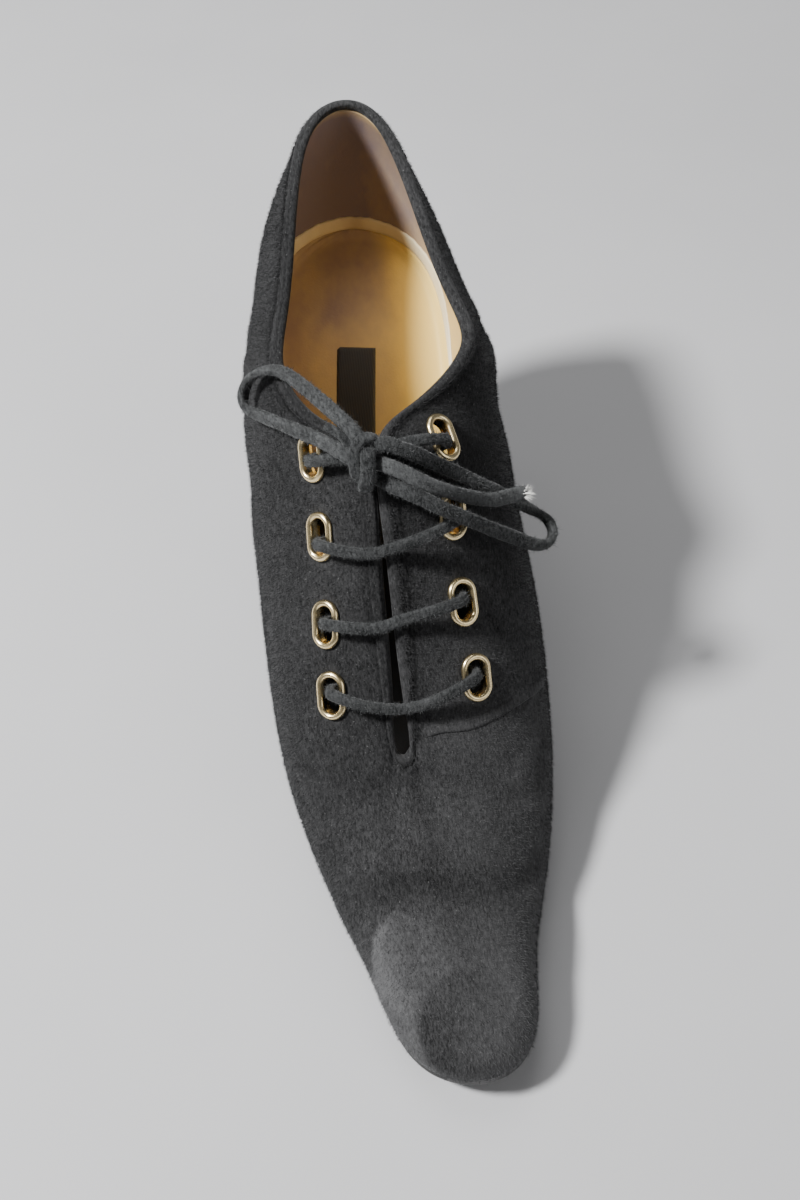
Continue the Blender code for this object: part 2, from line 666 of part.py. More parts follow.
def build_eyelets(shoe, upper):
    """The eight oval eyelets, and the holes that they sit in."""
    rings = []
    for row in EYELET_SECTION:
        loop = stadium(row.out * MM)
        rings.append(np.column_stack((loop, np.full(EYELET_POINTS, row.up * MM))))
    mesh = tube_mesh("eyelet", np.stack(rings))
    face_outwards(mesh)
    hole = stadium(EYELET_BARREL + GAP)
    ends = [np.column_stack((hole, np.full(EYELET_POINTS, up))) for up in (-HOLE_DEPTH, HOLE_HEIGHT)]
    turned = np.roll(np.stack(ends), EYELET_POINTS // 4, axis=1)
    cutter_mesh = ladder_mesh("eyelet_hole", turned)
    for eyelet in EYELETS:
        place = eyelet_place(eyelet)
        name = f"{eyelet.side}_{eyelet.number}"
        piece = shoe.add("eyelet_" + name, mesh, GOLD)
        piece.matrix_world = place
        shoe.add_cutter("hole_" + name, cutter_mesh, place, upper)


def find_eyelet(side, number):
    """The eyelet of one side and number."""
    return next(item for item in EYELETS if (item.side, item.number) == (side, number))


def eyelet_start(eyelet, onward):
    """Points of a lace that climbs out of an eyelet and turns over its flange towards a place."""
    place = eyelet_place(eyelet)
    centre = np.array(place.translation)
    normal = np.array(place.col[2][:3])
    away = onward - centre
    away = unit(away - normal * (away @ normal))
    turn = BAR_TURN * (1.0 - math.sqrt(0.5))
    return [
        centre - normal * BAR_END_DEPTH,
        centre + normal * BAR_RISE_DEPTH,
        centre + normal * (BAR_LIFT - turn) + away * turn,
        centre + normal * BAR_LIFT + away * BAR_TURN,
    ]


def build_bars(shoe):
    """The lace's bars, each from one eyelet over the slit into the eyelet opposite."""
    for bar in BARS:
        sides = []
        for side in ("lateral", "medial"):
            place = np.array((side_place(side, bar.crossing_row),))
            points, normals, _ = surface_frame(place, np.ones((1, 1)))
            sides.append(points[0, 0] + normals[0, 0] * BAR_CROSSING_LIFT - ORIGIN)
        start = eyelet_start(find_eyelet("lateral", bar.number), sides[0])
        finish_run = eyelet_start(find_eyelet("medial", bar.number), sides[1])
        route = start + sides + finish_run[::-1]
        shoe.add_lace(f"lace_bar_{bar.number}", route, LACE_RADIUS)
    ends = (("lateral", STRAND_LATERAL_END), ("medial", STRAND_MEDIAL_END))
    for side, end in ends:
        end_point = route_points((end,))[0]
        route = eyelet_start(find_eyelet(side, 1), end_point) + [end_point]
        shoe.add_lace(f"lace_bar_1_{side}", route, LACE_RADIUS)


def build_bow(shoe):
    """The knot over the slit's top, its two loops and its two ends."""
    working = bmesh.new()
    bmesh.ops.create_uvsphere(working, u_segments=KNOT_SEGMENTS, v_segments=KNOT_RINGS, radius=1.0)
    half = Matrix.Diagonal((*(size * MM for size in KNOT_HALF_SIZES), 1.0))
    bmesh.ops.transform(working, matrix=half, verts=working.verts)
    mesh = bpy.data.meshes.new("lace_knot")
    working.to_mesh(mesh)
    working.free()
    mesh.shade_smooth()
    knot = shoe.add_mesh("lace_knot", mesh, LACE)
    knot.location = route_points((KNOT_CENTRE,))[0]
    knot.rotation_euler = (math.radians(KNOT_PITCH), 0.0, 0.0)
    shoe.add_lace("lace_loop_lateral", route_points(LOOP_LATERAL), LACE_RADIUS)
    shoe.add_lace("lace_loop_medial", route_points(LOOP_MEDIAL), LACE_RADIUS)
    shoe.add_lace("lace_end_medial", route_points(END_MEDIAL), LACE_RADIUS)
    shoe.add_lace("lace_end_lateral", route_points(END_LATERAL), END_LATERAL_RADIUS)


def main():
    """Build every piece of the shoe."""
    clear_scene()
    shoe = Shoe()
    upper = build_upper(shoe)
    build_outsole(shoe)
    build_insole(shoe)
    build_heel(shoe)
    build_heel_tip(shoe)
    build_eyelets(shoe, upper)
    build_bars(shoe)
    build_bow(shoe)


main()
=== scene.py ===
"""Looks of a right lace-up court shoe in black suede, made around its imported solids.

Every soft surface hangs on the shoe's ribs: curves from the sole's edge (the feather line) up to
the topline, which runs round the collar and down both sides of the lace slit. A place on the ribs
is counted in rows from the toe, positive on the outer side and negative on the inner side.
"""
import logging
import math
from dataclasses import dataclass, field, replace
from enum import Enum
from typing import NamedTuple

import bmesh
import bpy
import numpy as np
from mathutils import Matrix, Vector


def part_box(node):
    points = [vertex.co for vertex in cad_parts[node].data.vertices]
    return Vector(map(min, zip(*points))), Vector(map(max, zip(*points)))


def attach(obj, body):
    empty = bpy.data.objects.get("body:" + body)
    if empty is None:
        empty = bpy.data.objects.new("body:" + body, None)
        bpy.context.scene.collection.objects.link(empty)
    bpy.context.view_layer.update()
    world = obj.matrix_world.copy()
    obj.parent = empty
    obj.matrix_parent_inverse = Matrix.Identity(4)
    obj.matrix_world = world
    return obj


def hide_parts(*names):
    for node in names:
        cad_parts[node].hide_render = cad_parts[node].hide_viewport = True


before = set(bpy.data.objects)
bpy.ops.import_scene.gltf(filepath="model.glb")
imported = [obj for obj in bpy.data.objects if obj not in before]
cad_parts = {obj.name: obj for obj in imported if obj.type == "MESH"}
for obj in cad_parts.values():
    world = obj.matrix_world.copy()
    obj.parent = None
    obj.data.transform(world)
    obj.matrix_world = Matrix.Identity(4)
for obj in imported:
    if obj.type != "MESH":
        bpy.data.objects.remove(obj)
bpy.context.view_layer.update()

Array = np.ndarray
Pair = tuple[float, float]
Triple = tuple[float, float, float]
Socket = bpy.types.NodeSocket
Mesh = bpy.types.Mesh
Material = bpy.types.Material
Object = bpy.types.Object
Shape = tuple[Array, list[list[int]]]
LOG = logging.getLogger("shoe")
MM = 0.001
BODY = "root"
UPWARD = np.array((0.0, 0.0, 1.0))
EVEN: Triple = (1.0, 1.0, 1.0)
WHOLE: Pair = (0.0, 1.0)
MIDDLE: Pair = (0.30, 0.70)
STEP_LIMIT = 60.0


class Slot(Enum):
    """Material slots of the record."""

    SUEDE = "black_suede"
    SOLE = "black_sole_leather"
    SOCK = "tan_sock_leather"
    RUBBER = "black_rubber"
    GOLD = "pale_gold"
    LACE = "charcoal_lace"


class Side(Enum):
    """Sides of the shoe; the value is the sign of a place counted from the toe."""

    LATERAL = 1
    MEDIAL = -1


class Rib(NamedTuple):
    """One rib, in millimetres and degrees.

    Out is across the shoe, along runs from the toe, top_up is above the sole, and lean tilts the
    rib's foot outwards. At its top, heading turns from the toe (0) past the side (90) to the back
    (180) and slope is the fall on the way out. A reach is the length of the curve's handle there.
    """

    name: str
    feather_out: float
    feather_along: float
    top_out: float
    top_along: float
    top_up: float
    lean: float
    low_reach: float
    heading: float
    slope: float
    high_reach: float


class Fold(NamedTuple):
    """A soft trough, or a ridge where depth is below zero, through three spots of the upper.

    A spot is a place on the ribs and a drop below the topline, in rows and millimetres.
    """

    name: str
    start: Pair
    middle: Pair
    end: Pair
    width: float
    depth: float


class Patch(NamedTuple):
    """A patch of the nap's tone or of painted light or shade, seen from above, in millimetres from the toe
    and in degrees.

    Its tone is full at one edge, and fade is the share of it that is gone at the opposite edge. The
    full edge is the outer one, turned by the lean.
    """

    name: str
    out: float
    along: float
    half_out: float
    half_along: float
    turn: float
    edge: float
    tone: float
    fade: float = 0.0
    lean: float = 0.0


class StainAndShade(NamedTuple):
    """A soft stain, or a band of painted shade, seen from above, in millimetres from the toe.

    Pull is the share of the distance along the shoe that counts; with none, the stain is a band.
    """

    name: str
    out: float
    along: float
    pull: float
    width: float
    strength: float

    def level(self, place: Array) -> Array:
        """Depth of the stain at places on the last: a bell of the distance from its middle."""
        apart = place[:, :2] - np.array((self.out, self.along)) * MM
        return self.strength * bell(np.hypot(apart[:, 0], apart[:, 1] * self.pull), self.width * MM)


class Lamp(NamedTuple):
    """A round area light: its place and width in metres, and its power in watts."""

    name: str
    place: Triple
    size: float
    power: float


TOE_RIB = Rib("toe", 2.5, 0.0, -5.0, 73.2, 36.2, 5, 16, 0, 25.5, 42)
LATERAL_RIBS = (
    Rib("toe corner", -8.7, 5.0, -6.4, 74.2, 36.6, 8, 15, 8, 29, 38),
    Rib("toe side", -18.5, 28.0, -7.0, 77.0, 39.0, 14, 17, 28, 33, 26),
    Rib("joint front", -28.0, 58.0, -6.7, 83.0, 46.2, 17, 21, 58, 38, 19),
    Rib("ball", -34.0, 90.0, -6.3, 94.0, 59.4, 20, 28, 82, 17, 20),
    Rib("waist", -33.5, 122.0, -6.05, 108.0, 73.4, 26, 35, 92, 19, 20),
    Rib("flap", -31.5, 146.0, -6.0, 121.0, 84.0, 29, 40, 95, 26, 20),
    Rib("throat", -30.5, 156.0, -8.8, 126.5, 85.5, 30, 40, 95, 33, 20),
    Rib("collar front", -29.5, 168.0, -17.5, 135.5, 80.0, 30, 34, 95, 43, 20),
    Rib("collar side", -28.0, 188.0, -25.9, 155.0, 66.6, 32, 25, 96, 50, 18),
    Rib("quarter", -26.5, 212.0, -21.2, 187.0, 49.4, 29, 19, 100, 54, 17),
    Rib("heel side", -20.5, 232.0, -13.1, 229.0, 46.7, 25, 17, 115, 56, 16),
)
BACK_RIB = Rib("back", 0.0, 243.5, 1.4, 241.1, 48.8, 12, 18, 180, 76, 17)
MEDIAL_RIBS = (
    Rib("toe corner", 13.5, 2.8, -3.6, 74.2, 36.6, 8, 15, 8, 29, 38),
    Rib("toe side", 22.0, 28.0, -3.0, 77.0, 39.2, 12, 17, 28, 32, 28),
    Rib("joint front", 30.5, 58.0, -3.3, 83.0, 46.6, 16, 21, 58, 33, 22),
    Rib("ball", 34.0, 88.0, -3.7, 94.0, 60.4, 23, 30, 82, 4, 24),
    Rib("waist", 29.5, 120.0, -3.95, 108.0, 74.8, 33, 43, 92, -6, 25),
    Rib("flap", 24.0, 146.0, -4.0, 121.0, 85.5, 36, 46, 95, -8, 25),
    Rib("throat", 23.0, 156.0, -1.7, 128.5, 85.5, 36, 45, 95, 4, 24),
    Rib("collar front", 22.5, 168.0, 8.0, 138.0, 79.2, 35, 36, 92, 20, 22),
    Rib("collar side", 23.0, 188.0, 22.8, 156.0, 66.4, 33, 26, 95, 44, 16),
    Rib("quarter", 23.5, 212.0, 19.3, 187.0, 49.4, 25, 19, 100, 56, 16),
    Rib("heel side", 17.5, 232.0, 11.9, 228.0, 46.5, 18, 17, 115, 60, 16),
)
# Places along the shoe, and the height of the outsole's underside there, in millimetres
SOLE_ROWS = (
    (-2.0, 6.6), (15.0, 3.6), (35.0, 1.0), (55.0, -0.2), (75.0, -0.3), (95.0, 0.4), (112.0, 4.0),
    (130.0, 12.5), (150.0, 27.0), (170.0, 42.5), (190.0, 55.0), (210.0, 63.0), (230.0, 67.5), (250.0, 70.0),
)
FOLDS = (
    Fold("flex crease", (2.75, 48.0), (0.0, 34.0), (-2.6, 52.0), 3.6, 0.75),
    Fold("swell before it", (2.5, 54.0), (0.0, 44.0), (-2.3, 57.0), 6.0, -0.25),
    Fold("swell behind it", (3.0, 40.0), (-0.4, 22.0), (-2.95, 42.0), 6.5, -0.45),
    Fold("outer throat hollow", (3.35, 34.0), (2.7, 22.0), (1.6, 10.0), 3.6, 0.45),
    Fold("inner throat hollow", (-3.2, 36.0), (-2.6, 24.0), (-1.8, 12.0), 3.4, 0.35),
    Fold("outer joint crease", (3.6, 46.0), (3.2, 40.0), (2.9, 30.0), 2.6, 0.55),
    Fold("inner joint crease", (-3.7, 50.0), (-3.2, 45.0), (-2.8, 34.0), 2.8, 0.40),
    Fold("outer ankle hollow", (8.6, 8.0), (8.9, 22.0), (8.7, 42.0), 7.0, 0.55),
    Fold("outer quarter crease", (9.2, 10.0), (9.5, 20.0), (9.4, 32.0), 3.0, 0.40),
    Fold("inner quarter crease", (-9.1, 9.0), (-9.4, 20.0), (-9.2, 34.0), 3.2, 0.40),
    Fold("outer flap hollow", (6.1, 30.0), (6.6, 42.0), (7.2, 58.0), 7.0, 0.45),
    Fold("back seam", (12.0, 4.5), (12.0, 25.0), (12.0, 52.0), 0.9, 0.40),
)
PATCHES = (
    Patch("brushed toe side", -9.4, 25.6, 8.8, 12.5, 20.0, 0.020, 0.92, 0.90, -32.0),
    # Painted light: the outer toe wall made lighter where the key light falls on it
    Patch("painted light on outer toe wall", -13.4, 13.0, 3.2, 15.0, 23.0, 0.30, 0.34),
    Patch("pressed toe tip", 2.8, 10.8, 12.6, 10.8, 6.0, 0.020, -0.46, 0.74, 8.0),
    Patch("brushed toe tip", 6.0, 5.0, 15.0, 12.0, 0.0, 0.40, 0.33),
    Patch("inner toe wall", 20.0, 30.0, 5.0, 34.0, -17.0, 0.45, 0.24),
    Patch("lower vamp", 9.0, 56.0, 17.0, 8.0, 0.0, 0.45, 0.12),
    Patch("toe box", 2.0, 24.0, 19.0, 17.0, 0.0, 0.40, 0.14),
    # Painted shade: a dark band along the flex crease
    Patch("flex crease", -2.0, 42.0, 22.0, 3.6, -8.0, 0.45, -0.16),
    # Painted shade in the outer throat hollow
    Patch("outer throat", -16.0, 70.0, 13.0, 8.0, -20.0, 0.55, -0.09),
    # Painted shade: the outer flank darker than the key light leaves it
    Patch("painted shade on outer flank", -34.0, 108.0, 8.0, 46.0, 0.0, 0.50, -0.10),
    # Painted light: the inner vamp lighter than the lamps leave it
    Patch("painted light on inner vamp", 19.0, 76.0, 11.0, 9.0, 0.0, 0.50, 0.26),
    # Painted light: lifts the inner flap where the bow's loop shades it
    Patch("painted light on inner flap", 16.0, 104.0, 12.0, 13.0, 0.0, 0.60, 0.10),
    # Painted shade: the inner flank darker, on the shoe's shaded side
    Patch("painted shade on inner flank", 31.0, 118.0, 9.0, 36.0, 0.0, 0.45, -0.05),
    # Painted shade: the outer heel quarter darker than the key light leaves it
    Patch("outer heel quarter", -30.0, 205.0, 11.0, 32.0, 0.0, 0.45, -0.24),
    # Painted shade: the outer flap darker than the key light leaves it
    Patch("outer flap", -20.0, 108.0, 13.0, 26.0, 0.0, 0.50, -0.06),
    # Painted shade on the inner throat, on the shoe's shaded side
    Patch("inner throat", 22.0, 130.0, 12.0, 15.0, 0.0, 0.50, -0.26),
)
SOCK_STAINS_AND_SHADE = (
    StainAndShade("heel", 2.0, 226.0, 0.7, 16.0, 0.34),
    StainAndShade("spot before the heel", -10.0, 212.0, 0.6, 5.0, 0.12),
    # Painted shade: a darker band along the sock's outer edge, which the outer wall shades
    StainAndShade("outer edge painted shade", -24.0, 0.0, 0.0, 8.0, 0.30),
)
BAND_STAIN = StainAndShade("rubbed back", 1.0, 240.0, 1.0, 3.0, 0.75)
LAMPS = (
    Lamp("key", (-0.77, -0.05, 1.03), 0.20, 30.0),
    Lamp("fill", (0.9, -0.6, 0.7), 0.9, 3.0),
    Lamp("overhead", (-0.10, 0.60, 1.1), 0.8, 4.0),
)


def unit(vectors: Array) -> Array:
    """The vectors at length one."""
    return vectors / np.linalg.norm(vectors, axis=-1, keepdims=True)


def natural_spline(places: Array, rows: Array, wanted: Array) -> Array:
    """Read a smooth curve that ends straight: a cubic between rows, with one bend at each row.

    Args:
        places: Rising places of the rows.
        rows: One row of values for each place.
        wanted: Places to read.

    Returns:
        One row of values for each wanted place.
    """
    step = np.diff(places)
    slope = np.diff(rows, axis=0) / step[:, None]
    matrix = np.diag(np.concatenate(((1.0,), 2.0 * (step[:-1] + step[1:]), (1.0,))))
    matrix[1:-1] += np.eye(len(places) - 2, len(places)) * step[:-1, None]
    matrix[1:-1] += np.eye(len(places) - 2, len(places), 2) * step[1:, None]
    right = np.zeros_like(rows)
    right[1:-1] = 6.0 * np.diff(slope, axis=0)
    bend = np.linalg.solve(matrix, right)
    i = np.clip(np.searchsorted(places, wanted) - 1, 0, len(places) - 2)
    before = ((places[i + 1] - wanted) / step[i])[:, None]
    after = 1.0 - before
    curve = (before**3 - before) * bend[i] + (after**3 - after) * bend[i + 1]
    return before * rows[i] + after * rows[i + 1] + curve * step[i][:, None] ** 2 / 6.0


def closed_spline(places: Array, rows: Array, wanted: Array) -> Array:
    """Read a smooth closed curve: as the natural spline, with the last row followed by the first.

    Args:
        places: Rising places of the rows, and the place where the first row comes again.
        rows: One row of values for each place but the last.
        wanted: Places to read, on any turn of the loop.

    Returns:
        One row of values for each wanted place.
    """
    count = len(rows)
    step = np.diff(places)
    last_step = np.roll(step, 1)
    slope = (np.roll(rows, -1, axis=0) - rows) / step[:, None]
    identity = np.eye(count)
    matrix = identity * (2.0 * (last_step + step))[:, None]
    matrix += np.roll(identity, -1, axis=1) * last_step[:, None]
    matrix += np.roll(identity, 1, axis=1) * step[:, None]
    bend = np.linalg.solve(matrix, 6.0 * (slope - np.roll(slope, 1, axis=0)))
    wanted = np.mod(wanted, places[-1])
    i = np.clip(np.searchsorted(places, wanted, side="right") - 1, 0, count - 1)
    following = (i + 1) % count
    before = ((places[i + 1] - wanted) / step[i])[:, None]
    after = 1.0 - before
    curve = (before**3 - before) * bend[i] + (after**3 - after) * bend[following]
    return before * rows[i] + after * rows[following] + curve * step[i][:, None] ** 2 / 6.0


def travelled(points: Array) -> Array:
    """Distance run along each row of points, from its first one."""
    steps = np.linalg.norm(np.diff(points, axis=-2), axis=-1)
    return np.concatenate((np.zeros((*steps.shape[:-1], 1)), np.cumsum(steps, axis=-1)), axis=-1)


def smooth_path(points: Array, spacing: float) -> Array:
    """Even points on a smooth curve through the given ones.

    Args:
        points: Points of the route; further columns are carried along.
        spacing: Distance between the points that are read.

    Returns:
        Points about the spacing apart, with their further columns.
    """
    places = travelled(points[:, :3])
    count = max(4, math.ceil(places[-1] / spacing) + 1)
    return natural_spline(places, points, np.linspace(0.0, places[-1], count))


def nearest(points: Array, path: Array) -> Array:
    """Distance of each point to the nearest point of a path."""
    square = (points**2).sum(axis=1)[:, None] + (path**2).sum(axis=1) - 2.0 * points @ path.T
    return np.sqrt(np.maximum(square.min(axis=1), 0.0))


def bell(distance: Array, width: float) -> Array:
    """A soft bump: one at no distance, falling off over the width."""
    return np.exp(-((distance / width) ** 2))


def soft_step(values: Array, middle: float, width: float) -> Array:
    """A soft step from zero to one at the middle, or from one to zero where the width is below zero."""
    return 1.0 / (1.0 + np.exp(np.minimum((middle - values) / width, STEP_LIMIT)))


def between(first: Array, second: Array, across: Array) -> Array:
    """Rows of points from one edge (across -1) to the other (across 1)."""
    share = (across[None, :, None] + 1.0) / 2.0
    return first[:, None] * (1.0 - share) + second[:, None] * share


def placed(right: Array, up: Array, back: Array, place: Array) -> Matrix:
    """The matrix of an object whose own directions and place are given."""
    turn = np.column_stack((right, up, back, place))
    return Matrix(np.vstack((turn, (0.0, 0.0, 0.0, 1.0))).tolist())


@dataclass
class Last:
    """The form that the shoe is built on, placed in the part's frame by the heel tip's solid."""

    wall: float = 2.0 * MM
    gap: float = 0.3 * MM
    sole_thickness: float = 3.5 * MM
    tip_back: float = 238.0 * MM
    row_step: float = 0.02
    share_step: float = 0.001
    fine_samples: int = 301
    rows: Array = field(init=False)
    places: Array = field(init=False)
    origin: Array = field(init=False)

    def __post_init__(self) -> None:
        """Work out the rib rows, their places round the shoe, and the frame's origin."""
        rounds = ((-1.0, (TOE_RIB, *LATERAL_RIBS)), (1.0, (BACK_RIB, *reversed(MEDIAL_RIBS))))
        self.rows = np.array([self.rib_row(side, rib) for side, ribs in rounds for rib in ribs])
        self.places = travelled(np.vstack((self.rows[:, :2], self.rows[:1, :2])))
        low, high = (np.array(corner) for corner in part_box("heel_tip"))
        self.origin = np.array((-(low[0] + high[0]) / 2.0, self.tip_back - high[1], 0.0))

    @property
    def side_rows(self) -> int:
        """Rows from the toe to the back."""
        return len(LATERAL_RIBS) + 1

    @staticmethod
    def rib_row(side: float, rib: Rib) -> tuple[float, ...]:
        """A rib as lengths in metres, angles in radians and its heading as a flat direction.

        Args:
            side: Sign of the side's way out, below zero on the outer side.
            rib: The rib.

        Returns:
            Five lengths, two reaches, lean, slope, and the heading's two parts.
        """
        lengths = (rib.feather_out, rib.feather_along, rib.top_out, rib.top_along, rib.top_up)
        reaches = (rib.low_reach, rib.high_reach)
        heading = math.radians(rib.heading)
        return (
            *(value * MM for value in lengths + reaches),
            math.radians(rib.lean),
            math.radians(rib.slope),
            side * math.sin(heading),
            -math.cos(heading),
        )

    def sole_under(self, along: Array) -> Array:
        """Height of the outsole's underside, no lower than the floor."""
        table = np.array(SOLE_ROWS) * MM
        return np.maximum(natural_spline(table[:, 0], table[:, 1:], along)[:, 0], 0.0)

    def sole_top(self, along: Array) -> Array:
        """Height of the outsole's upper side."""
        return self.sole_under(along) + self.sole_thickness

    def ribs_at(self, places: Array) -> Array:
        """Rib rows at places on the loop, from the smooth curve through the table's ribs."""
        wanted = np.interp(np.mod(places, len(self.rows)), np.arange(len(self.rows) + 1), self.places)
        return closed_spline(self.places, self.rows, wanted)

    def outline_normals(self, places: Array) -> Array:
        """Flat outward directions of the feather line: its run turned by a quarter turn."""
        run = unit((self.ribs_at(places + self.row_step) - self.ribs_at(places - self.row_step))[:, :2])
        return np.column_stack((-run[:, 1], run[:, 0], np.zeros(len(run))))

    def surface(self, places: Array, share: Array) -> Array:
        """Points of the upper's outer side, in the part's frame.

        Each rib is a cubic of four points: the feather point, that point moved up along the lean,
        the topline point moved out and down along heading and slope, and the topline point.

        Args:
            places: Places of the ribs.
            share: For each rib, shares of its curve from the feather line (0) to the topline (1).

        Returns:
            Points in the shape of share.
        """
        values = self.ribs_at(places)
        feather = np.column_stack((values[:, :2], self.sole_top(values[:, 1]) + self.gap))
        top_height = self.sole_top(values[:, 3]) + self.gap + values[:, 4]
        top = np.column_stack((values[:, 2:4], top_height))
        low_reach, high_reach, lean, slope = (values[:, i : i + 1] for i in (5, 6, 7, 8))
        fall = unit(np.column_stack((values[:, 9:], np.zeros(len(values)))))
        rise = self.outline_normals(places) * np.sin(lean) + UPWARD * np.cos(lean)
        low = feather + low_reach * rise
        high = top + high_reach * (fall * np.cos(slope) - UPWARD * np.sin(slope))
        t = share[..., None]
        rest = 1.0 - t
        ends = rest**3 * feather[:, None] + t**3 * top[:, None]
        return ends + 3.0 * rest**2 * t * low[:, None] + 3.0 * rest * t**2 * high[:, None] - self.origin

    def frame_at(self, places: Array, share: Array) -> tuple[Array, Array, Array]:
        """The upper's outer side and its directions, from small steps both ways.

        Args:
            places: Places of the ribs.
            share: For each rib, shares of its curve.

        Returns:
            Points, outward normals and directions up the ribs.
        """
        points = self.surface(places, share)
        step, rise = self.row_step, self.share_step
        ahead = self.surface(places + step, share) - self.surface(places - step, share)
        climb = self.surface(places, share + rise) - self.surface(places, share - rise)
        return points, unit(np.cross(climb, ahead)), unit(climb)

    def share_run(self, places: Array, wanted: Array, fine: Array) -> Array:
        """Shares of the ribs at distances run along them.

        Args:
            places: Places of the ribs.
            wanted: For each rib, the distances.
            fine: Close shares, in the order in which the ribs are run.

        Returns:
            Shares in the shape of wanted.
        """
        run = travelled(self.surface(places, np.tile(fine, (len(places), 1))))
        return np.array([np.interp(distance, row, fine) for distance, row in zip(wanted, run)])

    def share_below(self, places: Array, drops: Array) -> Array:
        """Shares of the ribs that lie the given distances below the topline."""
        return self.share_run(places, drops, np.linspace(1.0, 0.0, self.fine_samples))

    def share_above(self, places: Array, climbs: Array) -> Array:
        """Shares of the ribs that lie the given distances above the feather line."""
        return self.share_run(places, climbs, np.linspace(0.0, 1.0, self.fine_samples))

    def outline(self, rows: Array, offset: float | Array) -> Array:
        """Flat loop of the feather line moved out by an offset.

        Args:
            rows: Places from the toe to the heel.
            offset: How far the loop is moved out, for all places or each.

        Returns:
            Points down the outer side, and back up the inner side.
        """
        loops = []
        for side in Side:
            places = side.value * rows
            shift = self.outline_normals(places)[:, :2] * np.broadcast_to(offset, rows.shape)[:, None]
            loops.append(self.ribs_at(places)[:, :2] + shift)
        return np.vstack((loops[0], loops[1][::-1]))


class Graph:
    """A material's node tree with one Principled shader, filled by short calls."""

    # Numbers of the Mix node's sockets for two colours and for their mix
    COLOUR_INPUTS = (6, 7)
    COLOUR_OUTPUT = 2

    def __init__(self, name: str, **constants: float | tuple[float, ...]) -> None:
        """Start a material.

        Args:
            name: Name of the material.
            constants: Values of the shader's sockets, by their names in small letters.
        """
        self.material = bpy.data.materials.new(name)
        self.material.use_nodes = True
        self.tree = self.material.node_tree
        self.shader = self.tree.nodes["Principled BSDF"]
        for socket, value in constants.items():
            title = socket.replace("_", " ").title().replace("Ior", "IOR")
            self.shader.inputs[title].default_value = value

    def put(self, socket: Socket, value: Socket | float | tuple[float, ...]) -> None:
        """Link a source to a socket, or set the socket's own value.

        Args:
            socket: The socket.
            value: The source or the value.
        """
        if isinstance(value, Socket):
            self.tree.links.new(value, socket)
        else:
            socket.default_value = value

    def node(self, kind: str, inputs: dict | None = None, **settings: object) -> bpy.types.Node:
        """Add a node.

        Args:
            kind: Type of the node without its ShaderNode prefix.
            inputs: Values or source sockets by the name or number of the node's input.
            settings: Attributes of the node.

        Returns:
            The new node.
        """
        made = self.tree.nodes.new("ShaderNode" + kind)
        for key, value in settings.items():
            setattr(made, key, value)
        for key, value in (inputs or {}).items():
            self.put(made.inputs[key], value)
        return made

    def coords(self, stretch: Triple = EVEN) -> Socket:
        """Object coordinates, stretched."""
        place = self.node("TexCoord").outputs["Object"]
        return self.node("Mapping", {"Vector": place, "Scale": stretch}).outputs["Vector"]

    def noise(self, scale: float, detail: float = 3.0, stretch: Triple = EVEN) -> Socket:
        """Cloudy noise from 0 to 1 in stretched object coordinates."""
        values = {"Vector": self.coords(stretch), "Scale": scale, "Detail": detail, "Roughness": 0.6}
        return self.node("TexNoise", values).outputs["Fac"]

    def attribute(self, name: str) -> Socket:
        """A number that the mesh carries at its points."""
        return self.node("Attribute", attribute_name=name).outputs["Fac"]

    def ranged(self, value: Socket, span: Pair, onto: Pair = WHOLE) -> Socket:
        """The value with one range spread onto another, held at its ends."""
        limits = dict(zip(("From Min", "From Max", "To Min", "To Max"), (*span, *onto)))
        return self.node("MapRange", {"Value": value, **limits}, clamp=True).outputs["Result"]

    def math(self, operation: str, first: Socket, second: Socket | float) -> Socket:
        """A sum, product or other result of two numbers."""
        return self.node("Math", {0: first, 1: second}, operation=operation).outputs["Value"]

    def mix(self, factor: Socket, first: Socket | Triple, second: Socket | Triple) -> Socket:
        """A colour between two.

        Args:
            factor: Share of the second colour.
            first: The first colour or its source.
            second: The second colour or its source.

        Returns:
            The mixed colour.
        """
        made = self.node("Mix", {0: factor}, data_type="RGBA")
        for number, value in zip(self.COLOUR_INPUTS, (first, second)):
            self.put(made.inputs[number], value if isinstance(value, Socket) else (*value, 1.0))
        return made.outputs[self.COLOUR_OUTPUT]

    def bump(self, height: Socket, distance: float, strength: float) -> None:
        """Raise the surface's shading by a height of the given distance."""
        made = self.node("Bump", {"Height": height, "Distance": distance, "Strength": strength})
        self.feed("Normal", made.outputs["Normal"])

    def feed(self, socket: str, source: Socket) -> None:
        """Link a source to the shader."""
        self.put(self.shader.inputs[socket], source)


